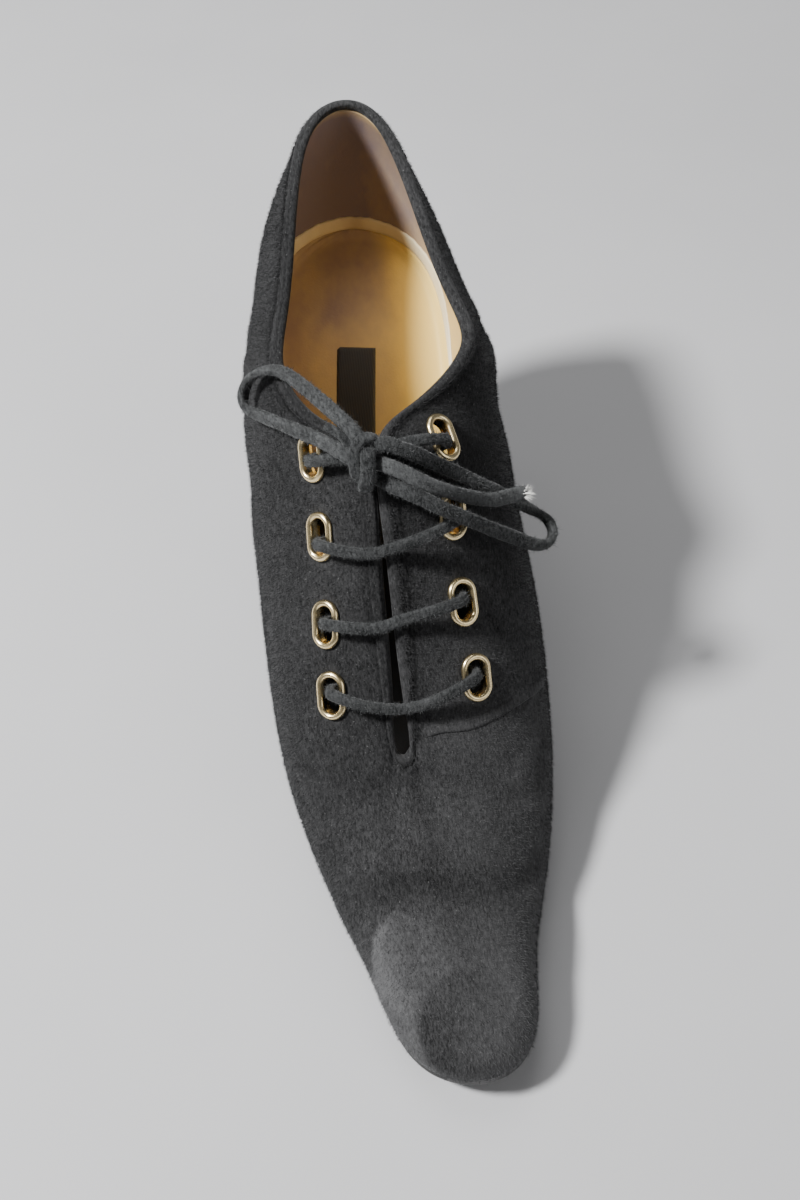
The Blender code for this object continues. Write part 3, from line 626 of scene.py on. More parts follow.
@dataclass(frozen=True)
class SuedeFinish:
    """Brushed black suede: streaks of nap, cloudy tone, lint, and the sheen of its fibres.

    Each layer of noise adds its levels to the tone between the dark and the light colour.
    """

    name: str
    dark: Triple
    light: Triple
    sheen: float
    toned: bool = False
    streak_scale: float = 2100.0
    streak_levels: Pair = (0.03, 0.44)
    cloud_scale: float = 55.0
    cloud_levels: Pair = (-0.04, 0.12)
    grain_scale: float = 3600.0
    grain_levels: Pair = (-0.12, 0.12)
    grain_share: float = 0.6
    mottle_scale: float = 480.0
    mottle_levels: Pair = (-0.06, 0.06)
    pressed_gain: float = 2.6
    pressed_least: float = 0.12
    lint_scale: float = 2900.0
    lint_limit: float = 0.80
    lint_edge: float = 0.02
    lint: Triple = (0.13, 0.13, 0.13)
    nap_depth: float = 0.35 * MM
    nap_strength: float = 0.42

    def material(self) -> Material:
        """Make the material; the mesh's tone attribute shifts it by brushed nap and by painted light and
        shade.

        Returns:
            The material.
        """
        graph = Graph(
            self.name, roughness=0.95, specular_ior_level=0.15, sheen_weight=self.sheen,
            sheen_roughness=0.38, sheen_tint=(0.95, 0.96, 0.97, 1.0),
        )
        streak = graph.noise(self.streak_scale, detail=2.0, stretch=(1.0, 0.32, 0.44))
        grain = graph.noise(self.grain_scale, detail=2.0)
        cloud = graph.noise(self.cloud_scale, detail=4.0, stretch=(1.0, 0.7, 0.7))
        mottle = graph.noise(self.mottle_scale, stretch=(1.0, 0.8, 0.8))
        level = graph.ranged(streak, (0.28, 0.72), self.streak_levels)
        layers = ((mottle, self.mottle_levels), (cloud, self.cloud_levels), (grain, self.grain_levels))
        for layer, levels in layers:
            level = graph.math("ADD", level, graph.ranged(layer, MIDDLE, levels))
        if self.toned:
            level = self.brushed(graph, level)
        colour = graph.mix(graph.ranged(level, WHOLE), self.dark, self.light)
        specks = graph.noise(self.lint_scale, detail=0.0, stretch=(1.0, 0.8, 1.0))
        spotted = graph.ranged(specks, (self.lint_limit, self.lint_limit + self.lint_edge))
        graph.feed("Base Color", graph.mix(spotted, colour, self.lint))
        height = graph.math("ADD", streak, graph.math("MULTIPLY", grain, self.grain_share))
        graph.bump(height, self.nap_depth, self.nap_strength)
        return graph.material

    def brushed(self, graph: Graph, level: Socket) -> Socket:
        """The level, cut where the nap is pressed and where shade is painted, and lifted where it is
        brushed up and light is painted.

        Args:
            graph: The material's nodes.
            level: The tone before.

        Returns:
            The tone with the mesh's tone attribute in it.
        """
        tone = graph.attribute("tone")
        pressed = graph.math("MULTIPLY", graph.math("MINIMUM", tone, 0.0), self.pressed_gain)
        kept = graph.math("MAXIMUM", graph.math("ADD", pressed, 1.0), self.pressed_least)
        level = graph.math("MULTIPLY", level, kept)
        return graph.math("ADD", level, graph.math("MAXIMUM", tone, 0.0))


@dataclass(frozen=True)
class SmoothLeather:
    """Smooth finished leather with stains, a fine grain and a worn gloss.

    The mesh's stain attribute turns it to its deep colour, and its shade attribute to one flat colour:
    black painted shade on the sock and the lining, a near-white painted highlight on the seat band.
    """

    name: str
    pale: Triple
    deep: Triple
    roughness: float
    coat: float
    specular: float = 0.28
    stain_scale: float = 60.0
    stain_levels: Pair = (0.0, 0.45)
    grain_scale: float = 1400.0
    grain_depth: float = 0.05 * MM
    fine_grain: float = 1.7
    gloss: Pair = (-0.08, 0.12)
    stained: bool = False
    # Flat colour laid on by the shade attribute: black painted shade by default, near-white painted
    # highlight on the seat band
    painted_shade_or_highlight: Triple = (0.006, 0.006, 0.006)

    def material(self) -> Material:
        """Make the material, with clouds of stain all over it.

        Returns:
            The material.
        """
        graph = Graph(
            self.name, specular_ior_level=self.specular, coat_weight=self.coat, coat_roughness=0.28
        )
        cloud = graph.noise(self.stain_scale, detail=4.0, stretch=(1.0, 0.6, 0.6))
        level = graph.ranged(cloud, (0.25, 0.75), self.stain_levels)
        # The stain attribute carries real stains, and on the sock and the lining also painted light and
        # painted shade
        if self.stained:
            level = graph.math("ADD", level, graph.attribute("stain"))
        colour = graph.mix(graph.ranged(level, WHOLE), self.pale, self.deep)
        # The shade attribute lays the flat colour of painted shade or highlight over the rest
        if self.stained:
            colour = graph.mix(graph.attribute("shade"), colour, self.painted_shade_or_highlight)
        graph.feed("Base Color", colour)
        cells = graph.node("TexVoronoi", {"Vector": graph.coords(), "Scale": self.grain_scale})
        fine = graph.noise(self.grain_scale * self.fine_grain, detail=2.0)
        graph.bump(graph.math("ADD", cells.outputs["Distance"], fine), self.grain_depth, 0.6)
        low, high = (self.roughness + change for change in self.gloss)
        graph.feed("Roughness", graph.ranged(cloud, MIDDLE, (low, high)))
        return graph.material


@dataclass(frozen=True)
class RubbedFinish:
    """A hard surface, duller and rougher where it is rubbed, with a fine grain or none."""

    name: str
    clean: Triple
    rubbed: Triple
    roughness: Pair
    rub_scale: float
    rub_detail: float
    rub_stretch: Triple
    rough_span: Pair = MIDDLE
    metallic: float = 0.0
    grain_scale: float = 0.0
    grain_depth: float = 0.06 * MM

    def material(self) -> Material:
        """Make the material.

        Returns:
            The material.
        """
        graph = Graph(self.name, metallic=self.metallic)
        rub = graph.noise(self.rub_scale, self.rub_detail, self.rub_stretch)
        graph.feed("Base Color", graph.mix(graph.ranged(rub, (0.45, 0.80)), self.clean, self.rubbed))
        graph.feed("Roughness", graph.ranged(rub, self.rough_span, self.roughness))
        if self.grain_scale:
            graph.bump(graph.noise(self.grain_scale), self.grain_depth, 0.5)
        return graph.material


@dataclass(frozen=True)
class WovenLabel:
    """A plain black satin label."""

    name: str = "black_satin_label"
    dark: Triple = (0.010, 0.009, 0.008)
    pale: Triple = (0.022, 0.020, 0.018)
    rib_scale: float = 420.0
    rib_depth: float = 0.08 * MM

    def material(self) -> Material:
        """Make the material with the fine ribs of its weave.

        Returns:
            The material.
        """
        graph = Graph(self.name, roughness=0.55, sheen_weight=0.2)
        values = {"Vector": graph.coords(), "Scale": self.rib_scale, "Distortion": 0.6}
        ribs = graph.node("TexWave", values).outputs["Fac"]
        graph.feed("Base Color", graph.mix(ribs, self.dark, self.pale))
        graph.bump(ribs, self.rib_depth, 0.5)
        return graph.material


SUEDE = SuedeFinish("black_suede_nap", (0.0045, 0.0045, 0.0047), (0.098, 0.098, 0.100), 0.16, toned=True)
FIBRE = SuedeFinish(
    "suede_fibres", (0.010, 0.010, 0.0103), (0.112, 0.112, 0.114), 0.14, toned=True, lint_limit=0.98
)
HEEL_SUEDE = SuedeFinish(
    "heel_cover_suede", (0.005, 0.005, 0.0052), (0.075, 0.075, 0.077), 0.11, lint_limit=0.86
)
LACE_SUEDE = SuedeFinish(
    "charcoal_lace_suede", (0.007, 0.0075, 0.0078), (0.128, 0.132, 0.133), 0.20,
    toned=True, streak_scale=1900.0, cloud_scale=140.0, lint_limit=0.83,
)
# Loose fibres lighter than the lace, made lighter still as painted light on the lace's fuzzy rim
LACE_FIBRE = SuedeFinish(
    "lace_fibres", (0.030, 0.0310, 0.0313), (0.215, 0.221, 0.222), 0.12, lint_limit=0.98
)
# The stain attribute turns the sock deep for real stains and for painted shade on its outer edge, pale as
# painted light on its inner side
SOCK = SmoothLeather(
    "tan_sock", (0.99, 0.715, 0.22), (0.245, 0.168, 0.200), 0.47, 0.05, stained=True
)
LINING = SmoothLeather(
    "tan_lining", (0.95, 0.66, 0.21), (0.25, 0.197, 0.205), 0.55, 0.0, specular=0.16, stained=True
)
# Its flat colour is near-white: a painted highlight on the band's narrow inner part, along the sock's curl
SEAT_BAND = SmoothLeather(
    "pale_gold_band", (0.96, 0.84, 0.55), (0.60, 0.45, 0.27), 0.40, 0.18, stained=True,
    painted_shade_or_highlight=(0.97, 0.90, 0.70),
)
SOLE_LEATHER = SmoothLeather(
    "black_outsole", (0.016, 0.015, 0.015), (0.034, 0.032, 0.030), 0.52, 0.10,
    stain_scale=160.0, grain_scale=900.0, grain_depth=0.08 * MM,
)
WHITE_CORE = SmoothLeather("white_lace_core", (0.78, 0.77, 0.74), (0.55, 0.54, 0.52), 0.8, 0.0)
PALE_GOLD = RubbedFinish(
    "polished_pale_gold", (0.91, 0.75, 0.44), (0.70, 0.54, 0.29), (0.21, 0.36),
    700.0, 3.0, (1.0, 1.0, 0.4), rough_span=(0.3, 0.8), metallic=1.0,
)
HEEL_RUBBER = RubbedFinish(
    "black_heel_rubber", (0.012, 0.012, 0.012), (0.035, 0.034, 0.033), (0.55, 0.85),
    320.0, 4.0, (1.0, 1.0, 0.3), grain_scale=2200.0,
)


def grid_faces(rounds: int, steps: int, close_round: bool, close_over: bool) -> Array:
    """Faces of a grid of points that may close in either direction.

    Args:
        rounds: Points in the first direction.
        steps: Points in the second direction.
        close_round: Whether the last round is joined to the first.
        close_over: Whether the last step is joined to the first.

    Returns:
        Four point numbers a face.
    """
    i = np.arange(rounds if close_round else rounds - 1)[:, None]
    j = np.arange(steps if close_over else steps - 1)[None, :]
    after_i = (i + 1) % rounds
    after_j = (j + 1) % steps
    corners = (i * steps + j, after_i * steps + j, after_i * steps + after_j, i * steps + after_j)
    return np.stack(np.broadcast_arrays(*corners), axis=-1).reshape(-1, 4)


def ladder_faces(layers: int, count: int) -> list[list[int]]:
    """Faces of stacked loops whose two ends are closed by rungs from side to side.

    Args:
        layers: Loops in the stack.
        count: Points of a loop, an even number.

    Returns:
        Four point numbers a face.
    """
    j = np.arange(count // 2 - 1)
    rungs = np.column_stack((j, count - 1 - j, count - 2 - j, j + 1))
    walls = grid_faces(layers, count, False, True)
    return np.vstack((walls, rungs, (layers - 1) * count + rungs[:, ::-1])).tolist()


def strip_faces(rounds: int, steps: int) -> list[list[int]]:
    """Faces of a row of closed rings, with one face over each end."""
    ends = [list(range(steps)), list(range((rounds - 1) * steps, rounds * steps))]
    return grid_faces(rounds, steps, False, True).tolist() + ends


def new_mesh(name: str, points: Array, faces: list | Array) -> Mesh:
    """A smooth mesh whose faces point outwards.

    Args:
        name: Name of the mesh.
        points: Points in the part's frame, in any grid.
        faces: Point numbers of each face.

    Returns:
        The mesh.
    """
    mesh = bpy.data.meshes.new(name)
    corners = faces.tolist() if isinstance(faces, np.ndarray) else faces
    mesh.from_pydata(points.reshape(-1, 3).tolist(), [], corners)
    work = bmesh.new()
    work.from_mesh(mesh)
    bmesh.ops.recalc_face_normals(work, faces=work.faces)
    work.to_mesh(mesh)
    work.free()
    mesh.shade_smooth()
    return mesh


def joined_mesh(name: str, parts: list[Shape]) -> Mesh:
    """One mesh of several closed shapes.

    Args:
        name: Name of the mesh.
        parts: Points and faces of each shape.

    Returns:
        The mesh.
    """
    points = [grid.reshape(-1, 3) for grid, _ in parts]
    starts = np.cumsum([0] + [len(part) for part in points]).tolist()
    faces = [[start + i for i in face] for start, (_, part) in zip(starts, parts) for face in part]
    return new_mesh(name, np.vstack(points), faces)


def linked(name: str, data: bpy.types.ID) -> Object:
    """A new object, in the scene.

    Args:
        name: Name of the object.
        data: Its mesh, light or camera.

    Returns:
        The object.
    """
    made = bpy.data.objects.new(name, data)
    bpy.context.scene.collection.objects.link(made)
    return made


def add_piece(name: str, mesh: Mesh, material: Material, nodes: tuple[str, ...] = ()) -> Object:
    """Put a finished piece on the shoe's body.

    Args:
        name: Name of the piece.
        mesh: Its mesh, in the part's frame.
        material: Its finish.
        nodes: Solids that the piece stands for.

    Returns:
        The piece's object.
    """
    piece = linked(name, mesh)
    mesh.materials.clear()
    mesh.materials.append(material)
    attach(piece, BODY)
    if nodes:
        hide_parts(*nodes)
    LOG.info("%s: %d faces", name, len(mesh.polygons))
    return piece


def mesh_points(mesh: Mesh) -> Array:
    """Points of a mesh as one array.

    Args:
        mesh: The mesh.

    Returns:
        One row for each point.
    """
    values = np.empty(len(mesh.vertices) * 3)
    mesh.vertices.foreach_get("co", values)
    return values.reshape(-1, 3)


def set_attribute(mesh: Mesh, name: str, values: Array) -> None:
    """Store one number for each point of a mesh."""
    layer = mesh.attributes.new(name, "FLOAT", "POINT")
    layer.data.foreach_set("value", values.astype(np.float32))


def spike_mesh(name: str, roots: Array, tips: Array, radius: float) -> Mesh:
    """A mesh of closed three-sided spikes, each a base triangle round its root joined to its tip.

    Args:
        name: Name of the mesh.
        roots: Middles of the bases.
        tips: Points of the spikes.
        radius: Radius of the bases.

    Returns:
        The mesh, with four points to a spike.
    """
    run = unit(tips - roots)
    across = unit(np.cross(run, UPWARD + 0.01))
    other = np.cross(run, across)
    angles = (np.arange(3) * math.tau / 3.0)[None, :, None]
    base = roots[:, None] + radius * (np.cos(angles) * across[:, None] + np.sin(angles) * other[:, None])
    points = np.concatenate((base, tips[:, None]), axis=1)
    start = np.arange(len(roots))[:, None, None] * 4
    corners = start + np.array(((0, 2, 1), (0, 1, 3), (1, 2, 3), (2, 0, 3)))
    mesh = bpy.data.meshes.new(name)
    mesh.from_pydata(points.reshape(-1, 3).tolist(), [], corners.reshape(-1, 3).tolist())
    return mesh


@dataclass
class EyeletPlace:
    """Where one eyelet sits: its middle on the leather, and its directions."""

    centre: Array
    across: Array
    along: Array
    normal: Array

    def put(self, points: Array) -> Array:
        """Points given by across, along and the way out, in the part's frame."""
        return points @ np.array((self.across, self.along, self.normal)) + self.centre


@dataclass
class Eyelets:
    """The eight oval eyelets, placed by their solids."""

    hole_length: float = 9.1 * MM
    hole_width: float = 4.5 * MM
    flange_top: float = 1.45 * MM
    flange_reach: float = 0.9 * MM
    flange_seat: float = 0.45 * MM
    flange_height: float = 1.0 * MM
    flange_steps: int = 15
    barrel: float = 0.5 * MM
    clearance: float = 0.3 * MM
    loop_points: int = 72
    cutter_reach: float = 7.0 * MM
    count: int = 4
    places: dict[tuple[Side, int], EyeletPlace] = field(default_factory=dict)

    # Out and up of the barrel's inside and of the flange's underside, in millimetres
    INSIDE = ((0.12, -2.4), (0.0, -1.2), (0.0, -0.3))
    UNDERSIDE = ((1.5, 0.22), (0.55, 0.22), (0.5, -2.4))

    def __post_init__(self) -> None:
        """Read each eyelet's place from its solid."""
        for side in Side:
            for number in range(1, self.count + 1):
                self.places[side, number] = self.read_place(self.node_name(side, number))

    @staticmethod
    def node_name(side: Side, number: int) -> str:
        """Name of an eyelet's solid."""
        return f"eyelet_{side.name.lower()}_{number}"

    def read_place(self, node: str) -> EyeletPlace:
        """Find an eyelet's directions from the spread of its solid's points.

        Args:
            node: The solid's name.

        Returns:
            Its place; the way out is the one in which the flange lies.
        """
        points = mesh_points(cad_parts[node].data)
        middle = (points.max(axis=0) + points.min(axis=0)) / 2.0
        along, across, normal = np.linalg.svd(points - points.mean(axis=0), full_matrices=False)[2]
        height = (points - middle) @ normal
        spread = np.abs((points - middle) @ across)
        normal = normal * math.copysign(1.0, np.corrcoef(height, spread)[0, 1])
        along = along * math.copysign(1.0, along[2])
        flat = points - np.outer((points - middle) @ normal, normal)
        centre = (flat.max(axis=0) + flat.min(axis=0)) / 2.0
        seat = ((points - centre) @ normal).max() - self.flange_top
        return EyeletPlace(centre + normal * seat, np.cross(along, normal), along, normal)

    def stadium(self, offset: float) -> Array:
        """Loop of two half rounds and two straights round the hole.

        Args:
            offset: How far the loop is moved out from the hole.

        Returns:
            Flat points, across and along.
        """
        radius = self.hole_width / 2.0 + offset
        straight = (self.hole_length - self.hole_width) / 2.0
        angles = (np.arange(self.loop_points) + 0.5) * math.tau / self.loop_points
        loop = np.column_stack((np.cos(angles), np.sin(angles))) * radius
        loop[:, 1] += straight * np.sign(loop[:, 1])
        return loop

    def section(self) -> Array:
        """Flange and barrel in section: the inside, a half oval over the flange, and the underside.

        Returns:
            Out and up of each point, from the inside end round to the outside.
        """
        bend = np.radians(np.linspace(180.0, -10.0, self.flange_steps))
        out = self.flange_reach * (1.0 + np.cos(bend))
        up = self.flange_seat + self.flange_height * np.sin(bend)
        inside, underside = (np.array(rows) * MM for rows in (self.INSIDE, self.UNDERSIDE))
        return np.vstack((inside, np.column_stack((out, up)), underside))

    def build(self) -> None:
        """Make each eyelet as its section carried round the stadium."""
        material = PALE_GOLD.material()
        section = self.section()
        size = self.loop_points
        rings = ((self.stadium(out), np.full(size, up)) for out, up in section)
        grid = np.stack([np.column_stack(ring) for ring in rings], axis=1)
        faces = grid_faces(size, len(section), True, True)
        for (side, number), place in self.places.items():
            name = self.node_name(side, number)
            mesh = new_mesh("gold_" + name, place.put(grid), faces)
            add_piece("gold_" + name, mesh, material, (name,))

    def cutter(self) -> Object:
        """One hidden body of eight prisms that cuts the eyelets' holes.

        Returns:
            The body.
        """
        loop = np.roll(self.stadium(self.barrel + self.clearance), self.loop_points // 4, axis=0)
        ends = (-self.cutter_reach, self.cutter_reach)
        prism = np.vstack([np.column_stack((loop, np.full(len(loop), end))) for end in ends])
        faces = ladder_faces(len(ends), len(loop))
        mesh = joined_mesh("eyelet_cutter", [(place.put(prism), faces) for place in self.places.values()])
        return linked("eyelet_cutter", mesh)


@dataclass
class Upper:
    """The suede upper with its rolled binding, its creases, its seam, its nap and its lining."""

    last: Last
    eyelets: Eyelets
    ribs: int = 640
    wall_rows: int = 80
    inner_rows: int = 22
    bead_rows: int = 11
    rim_rows: int = 8
    binding_width: float = 2.7 * MM
    binding_rise: float = 0.95 * MM
    groove_drop: float = 3.0 * MM
    groove_depth: float = 0.42 * MM
    groove_width: float = 0.38 * MM
    rim_nose: float = 0.6 * MM
    fold_samples: int = 60
    ridge_share: float = 0.40
    fade_power: float = 4.0
    counter_place: float = 212.0 * MM
    counter_blend: float = 6.0 * MM
    counter_stain: float = 0.62
    # Painted shade: the counter's lining darker outside its lit inner strip
    shaded_place: float = 8.0 * MM
    counter_painted_shade: float = 0.18
    # Where the lining's painted black shade begins towards the toe
    painted_shade_place: float = 150.0 * MM
    side_blend: float = 4.0 * MM
    pale_edge: float = 2.8 * MM
    seam_taper: float = 6.0
    nap_count: int = 46000
    nap_layers: int = 3
    nap_rows: int = 40
    nap_edge_gain: float = 2.5
    nap_edge_width: float = 4.0 * MM
    nap_span: Pair = (0.01, 0.985)
    nap_bury: float = 0.05 * MM
    nap_lie: Pair = (0.2, 1.0)
    nap_stand: Pair = (0.45, 1.1)
    nap_spread: float = 0.45
    nap_least: float = 0.2 * MM
    nap_growth: float = 0.16 * MM
    nap_long_share: float = 0.10
    nap_long_gain: float = 1.7
    nap_limit: float = 1.4 * MM
    nap_radius: float = 0.06 * MM
    nap_clear: Pair = (5.2 * MM, 7.6 * MM)
    nap_seed: int = 7
    places: Array = field(init=False)
    fold_paths: list[Array] = field(default_factory=list)

    # Waves of a patch's ragged edge: their depth, and turns per millimetre out and along
    EDGE_WAVES = ((0.015, 1.0, 1.7), (0.01, 3.1, 0.0))
    # Drops below the topline and depths under the outer side, in millimetres
    BELOW_BINDING = (1.6, 1.0, 0.6, 0.35, 0.15)
    SUEDE_DROPS = (0.0, 0.5, 1.0, 1.5, 1.9, 2.2)
    SUEDE_DEPTHS = (2.0, 2.1, 2.1, 2.0, 1.6, 1.1)
    LINING_DROPS = (1.75, 1.85, 2.1, 2.5)
    LINING_BACK = (1.55, 1.25, 1.16, 1.15)
    LINING_FACE = (1.65, 1.90, 2.0, 2.0)
    # The inner quarter's edge: spots of its line, and out and up of its wedge in millimetres
    SEAM_SPOTS = (
        (-2.62, 6.6), (-2.95, 12.0), (-3.20, 19.5), (-3.47, 27.6), (-3.84, 40.2), (-4.25, 58.0),
    )
    SEAM_WEDGE = (
        (-0.25, -0.30), (-0.15, 0.25), (0.15, 0.46), (0.7, 0.42), (1.8, 0.2), (3.4, -0.12), (1.5, -0.5),
    )

    def __post_init__(self) -> None:
        """Space the ribs evenly along the feather line, and lay each fold's smooth line on the upper."""
        run = np.linspace(0.0, self.last.places[-1], self.ribs, endpoint=False)
        self.places = np.interp(run, self.last.places, np.arange(len(self.last.places)))
        for fold in FOLDS:
            self.fold_paths.append(self.path((fold.start, fold.middle, fold.end))[0])

    def path(self, spots: tuple[Pair, ...]) -> tuple[Array, Array, Array]:
        """A smooth line through spots of the upper.

        Args:
            spots: Places on the ribs and drops below the topline, in rows and millimetres.

        Returns:
            Points, normals and rib directions along the line.
        """
        wanted = np.linspace(0.0, len(spots) - 1.0, self.fold_samples)
        line = natural_spline(np.arange(float(len(spots))), np.array(spots), wanted)
        share = self.last.share_below(line[:, 0], line[:, 1:] * MM)
        return tuple(values[:, 0] for values in self.last.frame_at(line[:, 0], share))

    def relief(self, points: Array) -> Array:
        """How far the worn leather stands out from the last: each fold is a trough between two ridges.

        Args:
            points: Points of the outer side.

        Returns:
            One height for each point.
        """
        total = np.zeros(len(points))
        for fold, path in zip(FOLDS, self.fold_paths):
            away = nearest(points, path)
            width = fold.width * MM
            ridges = bell(away - 2.0 * width, width)
            total -= fold.depth * MM * (bell(away, width) - self.ridge_share * ridges)
        return total

    def tone(self, points: Array) -> Array:
        """Brightness of the nap and of painted light and shade: each patch is a ragged oval seen from
        above.

        Args:
            points: Points in the part's frame.

        Returns:
            One tone for each point, below zero where the nap is pressed or shade is painted.
        """
        place = points + self.last.origin
        total = np.zeros(len(points))
        for patch in PATCHES:
            turn, lean = math.radians(patch.turn), math.radians(patch.lean)
            out = place[:, 0] / MM - patch.out
            along = place[:, 1] / MM - patch.along
            first = (out * math.cos(turn) + along * math.sin(turn)) / patch.half_out
            second = (along * math.cos(turn) - out * math.sin(turn)) / patch.half_along
            waves = sum(depth * np.sin(a * out + b * along) for depth, a, b in self.EDGE_WAVES)
            away = first * math.cos(lean) + second * math.sin(lean)
            near = np.clip((1.0 - away) / 2.0, 0.0, 1.0) ** self.fade_power
            level = patch.tone * (1.0 - patch.fade * (1.0 - near))
            total += level * soft_step(np.hypot(first, second) + waves, 1.0, -patch.edge)
        return total

    def binding(self, drops: Array) -> Array:
        """Rise of the rolled binding, half an oval over its width, and the groove along its lower edge.

        Args:
            drops: Distances below the topline.

        Returns:
            One height for each drop.
        """
        half = self.binding_width / 2.0
        round_rise = np.sqrt(np.maximum(1.0 - ((drops - half) / half) ** 2, 0.0))
        groove = bell(drops - self.groove_drop, self.groove_width)
        return self.binding_rise * round_rise - self.groove_depth * groove

    def outer(self) -> Array:
        """Outer side from the feather line to the topline, with its folds and its binding.

        Returns:
            Points up each rib.
        """
        across = np.linspace(1.0, 0.0, self.bead_rows)
        bead = self.binding_width * (1.0 - np.cos(across * math.pi)) / 2.0
        drops = np.concatenate((self.binding_width + np.array(self.BELOW_BINDING) * MM, bead))
        top_share = self.last.share_below(self.places, np.tile(drops, (self.ribs, 1)))
        wall_share = top_share[:, :1] * np.linspace(0.0, 1.0, self.wall_rows + 1)[:-1]
        points, normals, _ = self.last.frame_at(self.places, np.hstack((wall_share, top_share)))
        rise = np.concatenate((np.zeros(self.wall_rows), self.binding(drops)))
        worn = self.relief(points.reshape(-1, 3)).reshape(points.shape[:2])
        return points + normals * (rise + worn)[..., None]

    def rim(self) -> Array:
        """The binding's turn over the topline: half an oval from the outside to the inside.

        Returns:
            Points over the topline at each rib.
        """
        points, normals, climbs = self.last.frame_at(self.places, np.ones((self.ribs, 1)))
        angles = np.linspace(0.0, math.pi, self.rim_rows)[None, 1:-1, None]
        inward = normals * self.last.wall / 2.0 * (np.cos(angles) - 1.0)
        return points + inward + climbs * self.rim_nose * np.sin(angles)

    def inner(self, drops: tuple[float, ...], depths: tuple[float, ...]) -> Array:
        """A side under the outer side, from below the topline to the feather line.

        Args:
            drops: Distances of its first rows below the topline, in millimetres.
            depths: Depths of those rows in millimetres; the last one holds from there down.

        Returns:
            Points down each rib.
        """
        top_share = self.last.share_below(self.places, np.tile(np.array(drops) * MM, (self.ribs, 1)))
        fall = np.linspace(1.0, 0.0, self.inner_rows)[1:]
        share = np.hstack((top_share, top_share[:, -1:] * fall))
        points, normals, _ = self.last.frame_at(self.places, share)
        all_depths = np.concatenate((depths, np.full(len(fall), depths[-1]))) * MM
        side = points - normals * all_depths[None, :, None]
        side[:, -1, 2] = points[:, -1, 2]
        return side

    @staticmethod
    def cut(mesh: Mesh, cutter: Object) -> Mesh:
        """Cut the eyelets' holes.

        Args:
            mesh: A closed mesh.
            cutter: The body of the holes.

        Returns:
            The cut mesh.
        """
        body = linked("to_cut", mesh)
        holes = body.modifiers.new("eyelet_holes", "BOOLEAN")
        holes.operation = "DIFFERENCE"
        holes.solver = "EXACT"
        holes.object = cutter
        view = bpy.context.evaluated_depsgraph_get()
        result = bpy.data.meshes.new_from_object(body.evaluated_get(view))
        bpy.data.objects.remove(body)
        return result

    def build(self) -> None:
        """Make the suede shell, the lining, the seam and the nap."""
        cutter = self.eyelets.cutter()
        self.build_suede(cutter)
        self.build_lining(cutter)
        bpy.data.objects.remove(cutter)
        self.build_seam()
        fibres = FIBRE.material()
        for layer in range(1, self.nap_layers + 1):
            self.build_nap(layer, fibres)

    def build_suede(self, cutter: Object) -> None:
        """The suede shell: outer side, rim and inner side as one closed tube round the shoe.

        Args:
            cutter: The body of the eyelets' holes.
        """
        inner = self.inner(self.SUEDE_DROPS, self.SUEDE_DEPTHS)
        grid = np.concatenate((self.outer(), self.rim(), inner), axis=1)
        mesh = self.cut(new_mesh("suede_upper", grid, grid_faces(*grid.shape[:2], True, True)), cutter)
        set_attribute(mesh, "tone", self.tone(mesh_points(mesh)))
        add_piece("suede_upper", mesh, SUEDE.material(), ("upper",))

    def build_lining(self, cutter: Object) -> None:
        """Leather lining inside the suede, browner round the heel; painted shade on the counter, painted
        black towards the toe.

        Args:
            cutter: The body of the eyelets' holes.
        """
        back = self.inner(self.LINING_DROPS, self.LINING_BACK)
        face = self.inner(self.LINING_DROPS, self.LINING_FACE)
        grid = np.concatenate((back[:, ::-1], face), axis=1)
        mesh = self.cut(new_mesh("lining", grid, grid_faces(*grid.shape[:2], True, True)), cutter)
        place = mesh_points(mesh) + self.last.origin
        counter = soft_step(place[:, 1], self.counter_place, self.counter_blend)
        # Painted shade on the counter, outside the strip that the key light reaches
        shaded = soft_step(place[:, 0], self.shaded_place, -self.side_blend)
        every_other = self.places[::2]
        topline = self.last.surface(every_other, np.ones((len(every_other), 1)))[:, 0]
        edge = bell(nearest(mesh_points(mesh), topline), self.pale_edge)
        set_attribute(mesh, "stain", counter * (self.counter_stain + self.counter_painted_shade * shaded) - edge)
        # Painted shade: the lining black towards the toe, where the inside lies in shade
        set_attribute(mesh, "shade", soft_step(place[:, 1], self.painted_shade_place, -self.side_blend))
        add_piece("lining", mesh, LINING.material())

    def build_seam(self) -> None:
        """The folded edge of the inner quarter, lapped over the vamp, as a wedge along its line."""
        points, normals, climbs = self.path(self.SEAM_SPOTS)
        run = unit(np.gradient(points, axis=0))
        across = unit(np.cross(run, normals))
        across *= np.sign((across * climbs).sum(axis=1, keepdims=True))
        lift = self.relief(points)[:, None] * normals
        wedge = np.array(self.SEAM_WEDGE) * MM
        step = np.arange(len(points))
        taper = np.minimum(1.0, np.minimum(step, step[::-1]) / self.seam_taper + 0.2)
        out = across[:, None] * wedge[None, :, :1]
        up = normals[:, None] * (wedge[None, :, 1:] * taper[:, None, None])
        grid = (points + lift)[:, None] + out + up
        mesh = new_mesh("quarter_seam", grid, strip_faces(*grid.shape[:2]))
        set_attribute(mesh, "tone", self.tone(mesh_points(mesh)))
        add_piece("quarter_seam", mesh, bpy.data.materials[SUEDE.name])

